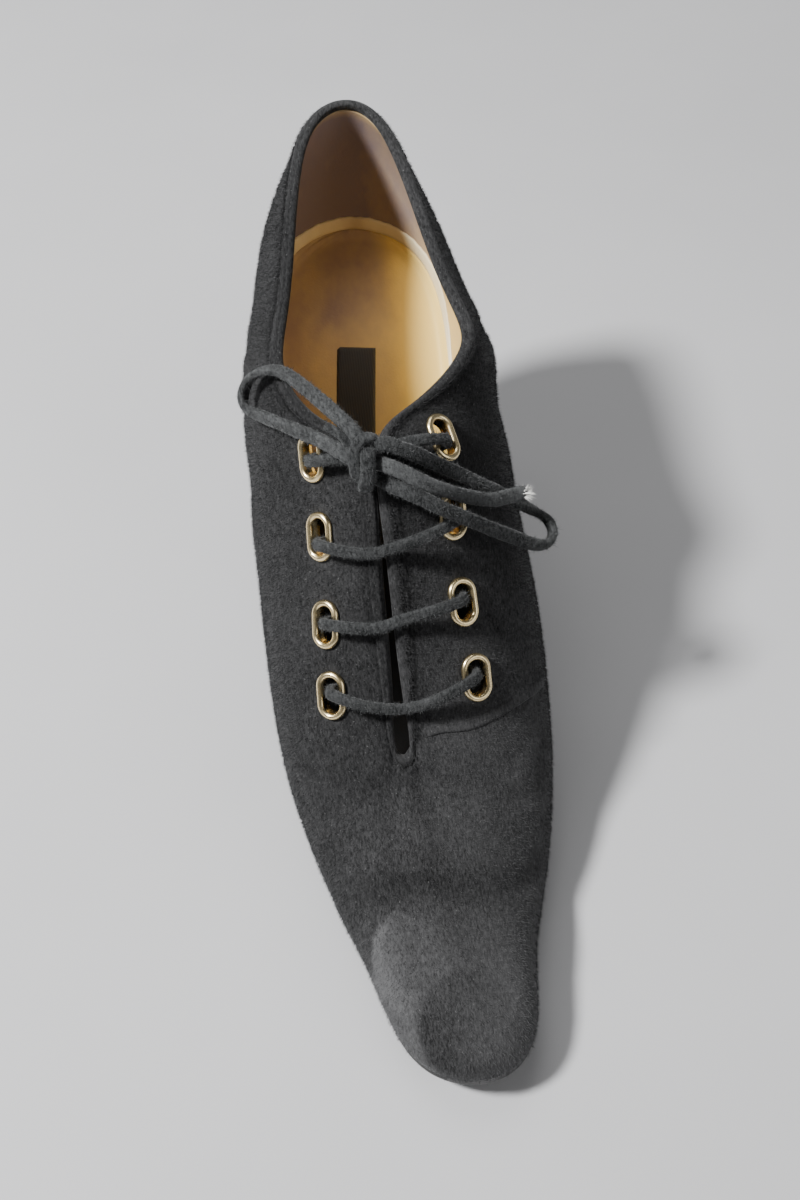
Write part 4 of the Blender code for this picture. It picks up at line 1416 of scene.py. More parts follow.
    def build_nap(self, layer: int, material: Material) -> None:
        """Short fibres all over the suede, lying towards the toe and the sole, some of them longer.

        Args:
            layer: Number of the layer.
            material: The fibres' finish.
        """
        draw = np.random.default_rng(self.nap_seed + layer)
        column = (self.nap_count, 1)
        share = np.linspace(*self.nap_span, self.nap_rows)
        cells = self.last.surface(self.places, np.tile(share, (self.ribs, 1)))
        area = np.linalg.norm(np.cross(np.gradient(cells, axis=0), np.gradient(cells, axis=1)), axis=2)
        drops = travelled(cells[:, ::-1])[:, ::-1] + 0.3 * MM
        chance = (area * (1.0 + self.nap_edge_gain * bell(drops, self.nap_edge_width))).ravel()
        picks = draw.choice(len(chance), self.nap_count, p=chance / chance.sum())
        jitter = draw.uniform(-0.5, 0.5, self.nap_count)
        places = self.places[picks // len(share)] + draw.uniform(-0.03, 0.03, self.nap_count)
        shares = share[picks % len(share)] + jitter * np.diff(share)[0]
        points, normals, climbs = (values[:, 0] for values in self.last.frame_at(places, shares[:, None]))
        drop = drops.ravel()[picks] + jitter * np.gradient(drops, axis=1).ravel()[picks]
        rise = self.relief(points) + self.binding(np.maximum(drop, 0.0)) - self.nap_bury
        roots = points + normals * rise[:, None]
        lie = -climbs * draw.uniform(*self.nap_lie, column)
        lie += np.cross(normals, climbs) * draw.normal(0.0, self.nap_spread, column)
        way = unit(lie + normals * draw.uniform(*self.nap_stand, column))
        lengths = draw.gamma(4.0, self.nap_growth, column) + self.nap_least
        lengths *= np.where(draw.uniform(0.0, 1.0, column) < self.nap_long_share, self.nap_long_gain, 1.0)
        tips = roots + way * np.minimum(lengths, self.nap_limit)
        clear = np.ones(self.nap_count, dtype=bool)
        for place in self.eyelets.places.values():
            apart = roots - place.centre
            across, along = apart @ place.across, apart @ place.along
            clear &= np.hypot(across / self.nap_clear[0], along / self.nap_clear[1]) > 1.0
        mesh = spike_mesh(f"suede_nap_{layer}", roots[clear], tips[clear], self.nap_radius)
        set_attribute(mesh, "tone", np.repeat(self.tone(roots[clear]), 4))
        add_piece(f"suede_nap_{layer}", mesh, material)


@dataclass
class SolePack:
    """Outsole, insole with its sock, seat band and label, heel and heel tip."""

    last: Last
    row_count: int = 150
    end_row: float = 0.15
    edge_steps: int = 5
    edge_turn: float = math.radians(50.0)
    tread_margin: float = -0.25 * MM
    tread_end_row: float = 4.0
    waist_start_row: float = 6.0
    sole_chamfer: float = 0.8 * MM
    sole_edge: float = 1.0 * MM
    sole_bevel: float = 0.25 * MM
    insole_thickness: float = 2.6 * MM
    insole_inset: float = 2.6 * MM
    insole_end_row: float = 0.03
    insole_columns: int = 81
    insole_edge_turn: float = math.radians(60.0)
    sock_climb: float = 4.3 * MM
    sock_depth: float = 2.05 * MM
    sock_curl: float = 1.7 * MM
    sock_tone: float = 0.18
    # Painted light on the sock's inner side, where the key light reaches past the outer collar
    sock_painted_light: float = 0.60
    sock_painted_light_place: float = 9.0 * MM
    sock_painted_light_blend: float = 1.6 * MM
    # Where the sock's painted black shade begins towards the toe
    sock_painted_shade_place: float = 166.0 * MM
    sock_painted_shade_blend: float = 3.0 * MM
    band_rows: int = 200
    band_tuck: float = 0.2 * MM
    band_wear: float = 0.02
    band_waves: Pair = (17.0, 41.0)
    band_taper: float = 0.4
    band_least: float = 0.2
    # Places over which the band's narrow inner part turns to its painted highlight
    band_highlight_rows: Pair = (14.2, 15.0)
    label_middle: Pair = (-4.9, 187.5)
    label_half_width: float = 5.9
    label_half_length: float = 13.0
    label_turn: float = -7.5
    label_lift: float = 0.28 * MM
    label_edge_lift: float = -0.05 * MM
    label_thickness: float = 0.2 * MM
    heel_breast_row: float = 9.05
    heel_inset: float = 0.4 * MM
    heel_points: int = 60
    heel_levels: int = 40
    heel_waist_power: float = 1.9
    tip_half_width: float = 12.0 * MM
    tip_breast: float = 213.0 * MM
    tip_squareness: float = 2.6
    tip_end_angle: float = 88.0
    tip_height: float = 5.5 * MM
    tip_chamfer: float = 0.5 * MM

    # The seat band: its section's rises as shares and depths, and its heights at places, in millimetres
    BAND_RISES = (0.0, 0.05, 0.25, 0.5, 0.75, 0.95, 1.0, 0.9, 0.5, 0.1)
    BAND_DEPTHS = (2.0, 2.35, 2.45, 2.48, 2.45, 2.35, 2.0, 1.9, 1.9, 1.9)
    BAND_PLACES = (9.6, 10.4, 13.8, 14.8, 16.4)
    BAND_HEIGHTS = (1.2, 4.5, 4.3, 1.8, 1.4)

    def rows(self, end: float) -> Array:
        """Rows from just beside the toe's middle to just beside the back's, the end row away."""
        return np.linspace(end, self.last.side_rows - end, self.row_count)

    def raised(self, loop: Array, height: Array | float) -> Array:
        """A flat loop of the last at a height, in the part's frame."""
        return np.column_stack((loop, np.broadcast_to(height, len(loop)))) - self.last.origin

    def edge_round(self) -> list[Pair]:
        """Shares of a rounded lower edge, inwards and upwards, from the underside to the side."""
        turn = np.radians(np.linspace(0.0, 90.0, self.edge_steps))
        return [(1.0 - math.sin(angle), 1.0 - math.cos(angle)) for angle in turn]

    def build(self) -> None:
        """Make every piece under the foot."""
        self.build_outsole()
        self.build_insole()
        self.build_seat_band()
        self.build_label()
        self.build_heel()
        self.build_tip()

    def stack(self, name: str, rings: Array) -> Mesh:
        """A mesh of stacked loops with sharp corners.

        Args:
            name: Name of the mesh.
            rings: Its loops, in the part's frame.

        Returns:
            The mesh.
        """
        mesh = new_mesh(name, rings, ladder_faces(*rings.shape[:2]))
        mesh.set_sharp_from_angle(angle=self.edge_turn)
        return mesh

    def build_outsole(self) -> None:
        """The outsole: loops of the outline, with a rounded lower edge."""
        rows = self.rows(self.end_row)
        margin = np.interp(rows, (self.tread_end_row, self.waist_start_row), (self.tread_margin, 0.0))
        rings = []
        for inward, upward in self.edge_round():
            loop = self.last.outline(rows, margin - self.sole_chamfer * inward)
            rings.append(self.raised(loop, self.last.sole_under(loop[:, 1]) + self.sole_edge * upward))
        for inset in (0.0, self.sole_bevel):
            loop = self.last.outline(rows, margin - inset)
            rings.append(self.raised(loop, self.last.sole_top(loop[:, 1]) + inset - self.sole_bevel))
        mesh = self.stack("sole_leather", np.stack(rings))
        add_piece("sole_leather", mesh, SOLE_LEATHER.material(), ("outsole",))

    def sock_edge(self, side: Side) -> Array:
        """Edge of the sock on one side: a little way up the lining's inner face.

        Args:
            side: The side.

        Returns:
            Points from the toe to the back.
        """
        places = side.value * self.rows(self.insole_end_row)
        climbs = np.full((len(places), 1), self.sock_climb)
        points, normals, _ = self.last.frame_at(places, self.last.share_above(places, climbs))
        return (points - normals * self.sock_depth)[:, 0]

    def bed_height(self, along: Array) -> Array:
        """Height of the flat foot bed at places along the last."""
        flat = self.last.sole_top(along.ravel()).reshape(along.shape)
        return flat + self.last.gap + self.insole_thickness

    def foot_bed(self, across: Array) -> Array:
        """The sock's upper side: flat, and curling up to its edges by a bell of the distance to them.

        Args:
            across: Places from the outer side (-1) to the inner side (1).

        Returns:
            Points across the sock in each row.
        """
        lateral, medial = self.sock_edge(Side.LATERAL), self.sock_edge(Side.MEDIAL)
        grid = between(lateral, medial, across)
        flat = self.bed_height(grid[..., 1] + self.last.origin[1])
        edge = np.vstack((lateral, medial))[:, :2]
        away = nearest(grid[..., :2].reshape(-1, 2), edge).reshape(flat.shape)
        away[:, (0, -1)] = 0.0
        grid[..., 2] = flat + (grid[..., 2] - flat) * bell(away, self.sock_curl)
        return grid

    def insole_under(self, across: Array) -> Array:
        """The insole's flat underside, inside the wall's lower edge.

        Args:
            across: Places from the outer side (-1) to the inner side (1).

        Returns:
            Points across the insole in each row.
        """
        loop = self.last.outline(self.rows(self.insole_end_row), -self.insole_inset)
        flat = between(loop[: self.row_count], loop[self.row_count :][::-1], across)
        base = self.last.sole_top(flat[..., 1].ravel()).reshape(flat.shape[:2]) + self.last.gap
        return np.dstack((flat, base)) - self.last.origin

    def build_insole(self) -> None:
        """The insole: its upper side and its flat underside as one closed section along the foot."""
        across = np.sin(np.linspace(-1.0, 1.0, self.insole_columns) * math.pi / 2.0)
        grid = np.concatenate((self.foot_bed(across), self.insole_under(across[::-1])), axis=1)
        mesh = new_mesh("sock_insole", grid, strip_faces(*grid.shape[:2]))
        mesh.set_sharp_from_angle(angle=self.insole_edge_turn)
        place = mesh_points(mesh) + self.last.origin
        # Real stains and painted shade on the outer edge, then painted light that turns the inner side pale
        stain = sum(stain.level(place) for stain in SOCK_STAINS_AND_SHADE) + self.sock_tone
        inner_painted_light = soft_step(place[:, 0], self.sock_painted_light_place, self.sock_painted_light_blend)
        set_attribute(mesh, "stain", stain - self.sock_painted_light * inner_painted_light)
        # Painted shade: the sock's front turned black, where the inside of the toe lies in shade
        set_attribute(mesh, "shade", soft_step(place[:, 1], self.sock_painted_shade_place, -self.sock_painted_shade_blend))
        add_piece("sock_insole", mesh, SOCK.material(), ("insole",))

    def build_seat_band(self) -> None:
        """The pale band round the heel seat: a thin strip on the lining, narrower on the inner side."""
        places = np.linspace(self.BAND_PLACES[0], self.BAND_PLACES[-1], self.band_rows)
        along = np.minimum(places - places[0], places[-1] - places)
        worn = 1.0 + self.band_wear * sum(np.sin(places * wave) for wave in self.band_waves)
        height = np.interp(places, self.BAND_PLACES, self.BAND_HEIGHTS) * MM
        height = height * worn * np.clip(along / self.band_taper, self.band_least, 1.0)
        wanted = self.sock_climb - self.band_tuck + np.array(self.BAND_RISES) * height[:, None]
        points, normals, _ = self.last.frame_at(places, self.last.share_above(places, wanted))
        grid = points - normals * (np.array(self.BAND_DEPTHS) * MM)[None, :, None]
        mesh = new_mesh("seat_band", grid, strip_faces(*grid.shape[:2]))
        set_attribute(mesh, "stain", BAND_STAIN.level(mesh_points(mesh) + self.last.origin))
        # Painted highlight: the band's narrow inner part turned near-white, where the sock's curl catches
        # the light
        painted_highlight = np.interp(places, self.band_highlight_rows, WHOLE)
        set_attribute(mesh, "shade", np.repeat(painted_highlight, len(self.BAND_RISES)))
        add_piece("seat_band", mesh, SEAT_BAND.material())

    def build_label(self) -> None:
        """A plain dark label on the sock: a thin plate laid on the foot bed, its edge turned down."""
        turn = math.radians(self.label_turn)
        along, across = np.meshgrid(np.linspace(-1.0, 1.0, 25), np.linspace(-1.0, 1.0, 13), indexing="ij")
        first, second = along * self.label_half_length, across * self.label_half_width
        out = (self.label_middle[0] + second * math.cos(turn) - first * math.sin(turn)) * MM
        run = (self.label_middle[1] + second * math.sin(turn) + first * math.cos(turn)) * MM
        at_edge = np.maximum(np.abs(along), np.abs(across)) > 0.99
        lift = np.where(at_edge, self.label_edge_lift, self.label_lift)
        grid = np.dstack((out, run, self.bed_height(run) + lift)) - self.last.origin
        mesh = new_mesh("label", grid, grid_faces(*grid.shape[:2], False, False))
        body = add_piece("label", mesh, WovenLabel().material())
        thick = body.modifiers.new("thickness", "SOLIDIFY")
        thick.thickness = self.label_thickness
        thick.offset = -1.0

    def tip_loop(self, inset: float) -> Array:
        """Outline of the heel tip: a superellipse's half, straight at the breast and round behind.

        Args:
            inset: How far the outline is moved in.

        Returns:
            Flat points on the last, down the outer side and back up the inner side.
        """
        angles = np.linspace(0.0, math.radians(self.tip_end_angle), self.heel_points)
        power = 2.0 / self.tip_squareness
        out = (self.tip_half_width - inset) * np.cos(angles) ** power
        depth = self.last.tip_back - self.tip_breast - 2.0 * inset
        along = self.tip_breast + inset + depth * np.sin(angles) ** power
        return np.vstack((np.column_stack((-out, along)), np.column_stack((out, along))[::-1]))

    def build_heel(self) -> None:
        """The covered heel: loops from the tip's outline to the seat's, waisted by a power of height."""
        rows = np.linspace(self.heel_breast_row, self.last.side_rows - self.end_row, self.heel_points)
        seat_loop = self.last.outline(rows, -self.heel_inset - self.sole_chamfer)
        seat = self.raised(seat_loop, self.last.sole_under(seat_loop[:, 1]) - self.last.gap)
        foot = self.raised(self.tip_loop(0.0), self.tip_height + self.last.gap)
        share = np.linspace(0.0, 1.0, self.heel_levels)
        waist = share**self.heel_waist_power
        rings = foot[None] + (seat - foot)[None] * np.column_stack((waist, waist, share))[:, None]
        mesh = self.stack("heel_cover", rings)
        add_piece("heel_cover", mesh, HEEL_SUEDE.material(), ("heel",))

    def build_tip(self) -> None:
        """The rubber tip: loops of its outline with a rounded lower edge."""
        rings = []
        for inward, upward in self.edge_round():
            rings.append(self.raised(self.tip_loop(self.tip_chamfer * inward), self.tip_chamfer * upward))
        rings.append(self.raised(self.tip_loop(0.0), self.tip_height))
        mesh = self.stack("tip_rubber", np.stack(rings))
        add_piece("tip_rubber", mesh, HEEL_RUBBER.material(), ("heel_tip",))


@dataclass
class Lace:
    """The suede lace: its run through the eyelets, its knot, and the bow's free loops and ends.

    The bow's routes are those of the solids, in millimetres from the toe at floor level, and each
    starts and ends a little way inside the knot.
    """

    last: Last
    eyelets: Eyelets
    width: float = 3.5 * MM
    thickness: float = 2.0 * MM
    round_width: float = 2.9 * MM
    squareness: float = 3.0
    ring_points: int = 24
    spacing: float = 0.55 * MM
    run_shares: Pair = (0.79, 1.0)
    run_tone: float = -0.02
    ruffle: float = 0.045
    long_wave: float = 5.3 * MM
    short_wave: float = 2.1 * MM
    edge_share: float = 0.75
    crossing_lift: float = 3.0 * MM
    bar_lift: float = 3.9 * MM
    bar_turn: float = 3.4 * MM
    inside_depth: float = 4.1 * MM
    first_bow: float = 5.5 * MM
    second_bow: float = -5.0 * MM
    seen_depth: float = 2.0 * MM
    knot_centre: Triple = (-6.8, 118.8, 99.7)
    knot_pitch: float = 49.5
    knot_wobble: float = 0.08
    wrap_shares: Pair = (0.88, 0.95)
    band_shares: Pair = (0.98, 1.0)
    short_end_shares: Pair = (0.60, 0.66)
    core_ends: tuple[Triple, Triple] = ((-3.1, 0.4, -1.1), (3.1, -0.2, -1.1))
    core_stretch: Triple = (1.0, 3.0, 1.5)
    fuzz_step: float = 0.012 * MM
    fuzz_growth: float = 0.16 * MM
    fuzz_radius: float = 0.06 * MM
    fuzz_flare: float = 1.2
    fuzz_lean: float = 0.6
    fuzz_root: float = 0.49
    fuzz_seed: int = 11
    tip_threads: int = 90
    tip_bury: float = 0.6 * MM
    tip_spread: float = 0.42 * MM
    tip_fan: float = 0.55
    tip_lengths: Pair = (1.0, 3.0)
    tip_radius: float = 0.17 * MM
    fuzz: list[tuple[Array, Array, Array]] = field(default_factory=list)

    CROSSING_ROWS = {2: (5.01, 5.0), 3: (4.175, 4.16), 4: (2.96, 2.93)}
    HOLE_SHIFTS = {
        Side.LATERAL: {1: 0.5, 2: 1.4, 3: -0.5, 4: -1.5},
        Side.MEDIAL: {1: 1.6, 2: 0.3, 3: -1.2, 4: -1.2},
    }
    LOOP_LATERAL = (
        (-7.6, 121.4, 103.6), (-9.2, 124.2, 105.6), (-12.2, 128.8, 106.4), (-15.4, 133.8, 106.6),
        (-18.8, 139.2, 106.4), (-22.0, 144.4, 105.8), (-25.2, 149.2, 104.6), (-28.6, 152.8, 102.4),
        (-31.8, 155.2, 99.4), (-34.4, 156.0, 95.8), (-35.8, 154.6, 92.8), (-35.6, 151.8, 91.6),
        (-33.4, 148.4, 92.2), (-30.2, 143.9, 94.3), (-26.6, 138.4, 97.0), (-22.6, 133.4, 98.9),
        (-18.4, 128.7, 100.5), (-14.4, 123.8, 101.6), (-11.4, 120.1, 101.9), (-8.8, 117.6, 101.2),
    )
    LOOP_MEDIAL = (
        (-5.4, 118.0, 96.4), (-2.6, 115.1, 96.6), (0.5, 112.7, 96.3), (4.5, 111.1, 94.9),
        (8.5, 109.8, 92.6), (12.8, 109.2, 89.7), (17.4, 109.5, 85.9), (22.3, 110.2, 81.4),
        (27.2, 111.0, 77.1), (31.8, 111.3, 73.5), (35.6, 111.8, 71.1), (38.4, 113.5, 70.1),
        (39.6, 116.4, 70.6), (38.7, 119.1, 72.2), (36.0, 120.3, 74.2), (32.6, 120.8, 76.8),
        (28.6, 120.9, 80.2), (24.4, 120.7, 84.2), (19.5, 120.4, 88.4), (14.5, 120.0, 92.7),
        (9.4, 119.3, 97.4), (4.4, 118.8, 101.9), (0.1, 119.3, 104.3), (-2.4, 120.0, 104.9),
        (-5.0, 120.4, 103.8),
    )
    END_MEDIAL = (
        (-5.0, 119.4, 99.6), (-2.6, 116.8, 100.9), (0.0, 115.4, 100.4), (2.8, 114.2, 99.2),
        (6.0, 113.2, 97.4), (9.6, 112.8, 95.2), (13.0, 113.2, 92.8), (16.3, 114.0, 90.2),
        (20.0, 115.0, 87.6), (23.9, 116.0, 85.6), (27.2, 117.6, 84.2), (30.0, 118.9, 83.4),
        (32.8, 119.4, 82.8),
    )
    END_LATERAL = (
        (-8.0, 119.8, 101.6), (-10.7, 122.9, 103.4), (-13.2, 126.0, 104.2), (-16.0, 129.2, 104.0),
    )
    # Shares of the way behind the leather, and how far a strip leans as it climbs out of an eyelet
    UNDER_SHARES = (0.12, 0.30, 0.5, 0.70, 0.88)
    CLIMB_LEANS = (1.0, 0.9, 0.45, 0.0)
    STRAND_LATERAL_END = ((-9.9, 121.7, 98.5), (-7.2, 119.6, 98.0))
    STRAND_MEDIAL_END = ((-3.2, 121.7, 100.5), (-6.0, 120.2, 100.0))
    WRAP = (
        (3.6, 3.6, -0.4), (3.0, 5.3, 0.8), (1.6, 6.3, 1.6), (0.1, 6.4, 2.1), (-1.5, 5.5, 2.3),
        (-2.5, 3.9, 2.2), (-2.9, 1.8, 1.9), (-2.9, -0.4, 1.6), (-2.6, -2.2, 0.9), (-1.8, -3.6, -0.1),
        (-0.7, -4.0, -1.2),
    )
    BAND = (
        (1.2, 3.0, 0.4), (0.8, 3.5, 2.0), (0.3, 2.6, 3.3), (0.0, 0.6, 3.9), (-0.3, -1.8, 3.8),
        (-0.7, -3.8, 3.1), (-1.0, -5.2, 1.6), (-1.1, -5.6, -0.4),
    )

    @property
    def outward(self) -> Array:
        """Direction from the leather out through the knot."""
        pitch = math.radians(self.knot_pitch)
        return np.array((0.0, -math.sin(pitch), math.cos(pitch)))

    def route(self, points: tuple) -> Array:
        """Points of a route in the part's frame, in metres."""
        return np.array(points) * MM - self.last.origin

    def ribbon(self, path: Array, hints: Array, wobble: float = 0.05, shares: Pair = (1.0, 1.0)) -> Shape:
        """A rounded strip along a path.

        Its section is a superellipse, thin along the hints, with a slow wobble in its size and a fine
        ruffle all over; its two ends close in a quarter round.

        Args:
            path: Points of its middle line.
            hints: The direction in which the strip is thin, for each point or for all.
            wobble: Share by which its size changes along the way.
            shares: Its width and its thickness as shares of the lace's own.

        Returns:
            The points as rings along the path, and the faces.
        """
        run = unit(np.gradient(path, axis=0))
        thin = unit(hints - run * (hints * run).sum(axis=1, keepdims=True))
        wide, thin = np.cross(run, thin) * shares[0], thin * shares[1]
        place = travelled(path)
        from_end = np.minimum(place, place[-1] - place)
        close = np.sqrt(np.clip(1.0 - (1.0 - np.minimum(from_end / MM, 1.0)) ** 2, 0.02, 1.0))
        slow = np.sin(place / self.long_wave) + np.sin(place / self.short_wave + 1.3)
        size = close * (1.0 + wobble * slow / 2.0)
        angles = np.arange(self.ring_points) * math.tau / self.ring_points
        circle = np.array((np.cos(angles), np.sin(angles)))
        across, above = np.sign(circle) * np.abs(circle) ** (2.0 / self.squareness)
        ring = wide[:, None] * (across * self.width / 2.0)[None, :, None]
        ring = ring + thin[:, None] * (above * self.thickness / 2.0)[None, :, None]
        self.fuzz.append((path, wide, thin))
        draw = np.random.default_rng(len(path))
        rough = 1.0 + self.ruffle * draw.normal(0.0, 1.0, (len(path), self.ring_points, 1))
        grid = path[:, None] + ring * rough * size[:, None, None]
        return grid, strip_faces(*grid.shape[:2])

    def build(self) -> None:
        """Make the knot and the frayed tip first, then the free bow, the run through the eyelets and the
        fuzz.
        """
        material = LACE_SUEDE.material()
        knot = self.build_knot(material)
        tip = self.build_tip()
        routes = (
            ("bow_loop_lateral", self.LOOP_LATERAL, "lace_loop_lateral", "object", [knot], 0.10),
            ("bow_loop_medial", self.LOOP_MEDIAL, "lace_loop_medial", "object", [], 0.0),
            ("bow_end_medial", self.END_MEDIAL, "lace_end_medial", "bare", [tip], 0.28),
        )
        for name, points, node, far_end, pieces, tone in routes:
            path = smooth_path(self.route(points), self.spacing)
            mesh = new_mesh(name, *self.ribbon(path, self.bow_hints(path)))
            set_attribute(mesh, "tone", np.full(len(mesh.vertices), tone))
            cord = add_piece(name, mesh, material, (node,))
        self.build_run(material)
        self.build_fuzz(LACE_FIBRE.material())

    def bow_hints(self, path: Array) -> Array:
        """Thin directions of a bow's strip: facing outwards by the knot, and turned on edge at the bend.

        Args:
            path: Points of the strip's middle line.

        Returns:
            One direction for each point.
        """
        place = travelled(path)
        share = self.edge_share * np.sin(place / place[-1] * math.pi)[:, None] ** 2
        bend = np.gradient(np.gradient(path, axis=0), axis=0)
        radial = unit(path - path.mean(axis=0) - bend)
        return self.outward * (1.0 - share) + radial * share

    def build_knot(self, material: Material) -> Object:
        """The knot: two turns of the lace over the strands that meet inside it, and its short end.

        Args:
            material: The lace's finish.

        Returns:
            The knot's piece.
        """
        pitch = math.radians(self.knot_pitch)
        along = np.array((0.0, math.cos(pitch), math.sin(pitch)))
        turn = np.array(((1.0, 0.0, 0.0), along, self.outward))
        centre = self.route((self.knot_centre,))[0]
        parts = []
        for points, shares in ((self.WRAP, self.wrap_shares), (self.BAND, self.band_shares)):
            line = smooth_path(np.array(points) * MM, self.spacing)
            radial = line * np.array((0.2, 0.45, 1.0))
            parts.append(self.ribbon(line @ turn + centre, radial @ turn, self.knot_wobble, shares))
        end_line = smooth_path(self.route(self.END_LATERAL), self.spacing)
        parts.append(self.ribbon(end_line, self.outward, shares=self.short_end_shares))
        core_line = np.linspace(*self.core_ends, 16) * MM
        core, faces = self.ribbon(core_line @ turn + centre, self.outward)
        self.fuzz.pop()
        middle = core.mean(axis=1, keepdims=True)
        parts.append((middle + (core - middle) @ turn.T @ np.diag(self.core_stretch) @ turn, faces))
        mesh = joined_mesh("bow_knot", parts)
        return add_piece("bow_knot", mesh, material, ("lace_knot", "lace_end_lateral"))

    def build_tip(self) -> Object:
        """The frayed white core at the free end: a spray of short threads from the lace's middle.

        Returns:
            The tip's piece.
        """
        draw = np.random.default_rng(self.fuzz_seed)
        ends = self.route(self.END_MEDIAL[-2:])
        ahead = unit(ends[1] - ends[0])
        spread = draw.normal(0.0, 1.0, (self.tip_threads, 3))
        roots = ends[1] - ahead * self.tip_bury + spread * self.tip_spread
        ways = unit(ahead + spread * self.tip_fan + UPWARD * 0.15)
        tips = roots + ways * draw.uniform(*self.tip_lengths, (self.tip_threads, 1)) * MM
        mesh = spike_mesh("frayed_tip", roots, tips, self.tip_radius)
        return add_piece("frayed_tip", mesh, WHITE_CORE.material())

    def hole(self, side: Side, number: int) -> EyeletPlace:
        """Where the lace passes an eyelet: its hole, shifted along it."""
        place = self.eyelets.places[side, number]
        return replace(place, centre=place.centre - place.along * self.HOLE_SHIFTS[side][number] * MM)

    def climb(self, place: EyeletPlace, onward: Array) -> Array:
        """Lace that rises through an eyelet and turns over its flange.

        Args:
            place: Where it passes the eyelet.
            onward: The point that it goes on to.

        Returns:
            Points with their thin directions.
        """
        away = onward - place.centre
        away = unit(away - place.normal * (away @ place.normal))
        rise = np.array((-self.inside_depth * 0.55, 0.6 * MM, self.bar_lift - 1.0 * MM, self.bar_lift))
        shift = np.array((0.0, 0.0, self.bar_turn * 0.29, self.bar_turn))
        points = place.centre + rise[:, None] * place.normal + shift[:, None] * away
        lean = np.array(self.CLIMB_LEANS)[:, None]
        return np.hstack((points, place.normal * (1.0 - lean) - away * lean))

    def crossing(self, number: int) -> Array:
        """Where a bar crosses the slit's two edges.

        Args:
            number: Number of the bar.

        Returns:
            Two points with their thin directions, outer side first.
        """
        places = np.array([side.value * row for side, row in zip(Side, self.CROSSING_ROWS[number])])
        points, normals, _ = (values[:, 0] for values in self.last.frame_at(places, np.ones((2, 1))))
        return np.hstack((points + normals * self.crossing_lift, normals))

    def bar(self, number: int) -> Array:
        """A bar's route from the outer eyelet over the slit into the inner one.

        Args:
            number: Number of the bar.

        Returns:
            Points with their thin directions.
        """
        middle = self.crossing(number)
        ends = [self.climb(self.hole(side, number), row[:3]) for side, row in zip(Side, middle)]
        return np.vstack((ends[0], middle, ends[1][::-1]))

    def strand(self, side: Side, end: tuple) -> Array:
        """Points and thin directions from the top eyelet of a side to the route's end in the knot."""
        rows = np.array([(*point, *self.outward) for point in self.route(end)])
        return np.vstack((self.climb(self.hole(side, 1), rows[0, :3]), rows))

    def under(self, side: Side, first: int, second: int, shift: float) -> Array:
        """Route behind the leather between two eyelets of a side, beside the holes that it passes.

        Args:
            side: The side.
            first: Number of the eyelet that it comes from.
            second: Number of the eyelet that it goes to.
            shift: How far it bows out across.

        Returns:
            Points with their thin directions.
        """
        ends = [self.hole(side, number) for number in (first, second)]
        share = np.array(self.UNDER_SHARES)[:, None]
        line = ends[0].centre * (1.0 - share) + ends[1].centre * share
        normals = unit(ends[0].normal * (1.0 - share) + ends[1].normal * share)
        beside = ends[0].across * shift * np.sin(share * math.pi) ** 0.7
        return np.hstack((line - normals * self.inside_depth + beside, normals))

    def build_run(self, material: Material) -> None:
        """The lace's run: knot, inner eyelet 1, bar 3, bar 4, bar 2, outer eyelet 1, and the knot again.

        Args:
            material: The lace's finish.
        """
        medial, lateral = Side.MEDIAL, Side.LATERAL
        points = np.vstack((
            self.strand(medial, self.STRAND_MEDIAL_END)[::-1],
            self.under(medial, 1, 3, self.first_bow),
            self.bar(3)[::-1],
            self.under(lateral, 3, 4, 0.0),
            self.bar(4),
            self.under(medial, 4, 2, self.second_bow),
            self.bar(2)[::-1],
            self.under(lateral, 2, 1, 0.0),
            self.strand(lateral, self.STRAND_LATERAL_END),
        ))
        path = smooth_path(points, self.spacing)
        mesh = new_mesh("lace_run", *self.ribbon(path[:, :3], path[:, 3:], shares=self.run_shares))
        set_attribute(mesh, "tone", np.full(len(mesh.vertices), self.run_tone))
        seen = self.height_over_leather(path[:, :3]) > -self.seen_depth
        self.fuzz[-1] = tuple(values[seen] for values in self.fuzz[-1])
        nodes = ("lace_bar_1_lateral", "lace_bar_1_medial", "lace_bar_2", "lace_bar_3", "lace_bar_4")
        add_piece("lace_run", mesh, material, nodes)

    def height_over_leather(self, points: Array) -> Array:
        """Height of each point over the seat of its nearest eyelet.

        Args:
            points: The points.

        Returns:
            One height for each point.
        """
        centres = np.array([place.centre for place in self.eyelets.places.values()])
        normals = np.array([place.normal for place in self.eyelets.places.values()])
        near = np.linalg.norm(points[:, None] - centres, axis=2).argmin(axis=1)
        return ((points - centres[near]) * normals[near]).sum(axis=1)

    def build_fuzz(self, material: Material) -> None:
        """Short fibres all over the lace: spikes from its section's edge, leaning along it.

        Args:
            material: The fibres' finish.
        """
        draw = np.random.default_rng(self.fuzz_seed)
        path, wide, thin = (np.vstack(rows) for rows in zip(*self.fuzz))
        count = int(len(path) * self.spacing / self.fuzz_step)
        pick = draw.integers(1, len(path) - 1, count)
        angle = draw.uniform(0.0, math.tau, count)[:, None]
        sideways, upwards = wide[pick] * np.cos(angle), thin[pick] * np.sin(angle)
        out = unit(sideways + upwards * self.fuzz_flare)
        reach = sideways * self.width + upwards * self.thickness
        run = np.cross(wide[pick], thin[pick]) * draw.normal(0.0, self.fuzz_lean, (count, 1))
        roots = path[pick] + reach * self.fuzz_root + run * self.spacing
        tips = roots + unit(out + run) * draw.gamma(3.0, self.fuzz_growth, (count, 1))
        mesh = spike_mesh("lace_fuzz", roots, tips, self.fuzz_radius)
        add_piece("lace_fuzz", mesh, material)


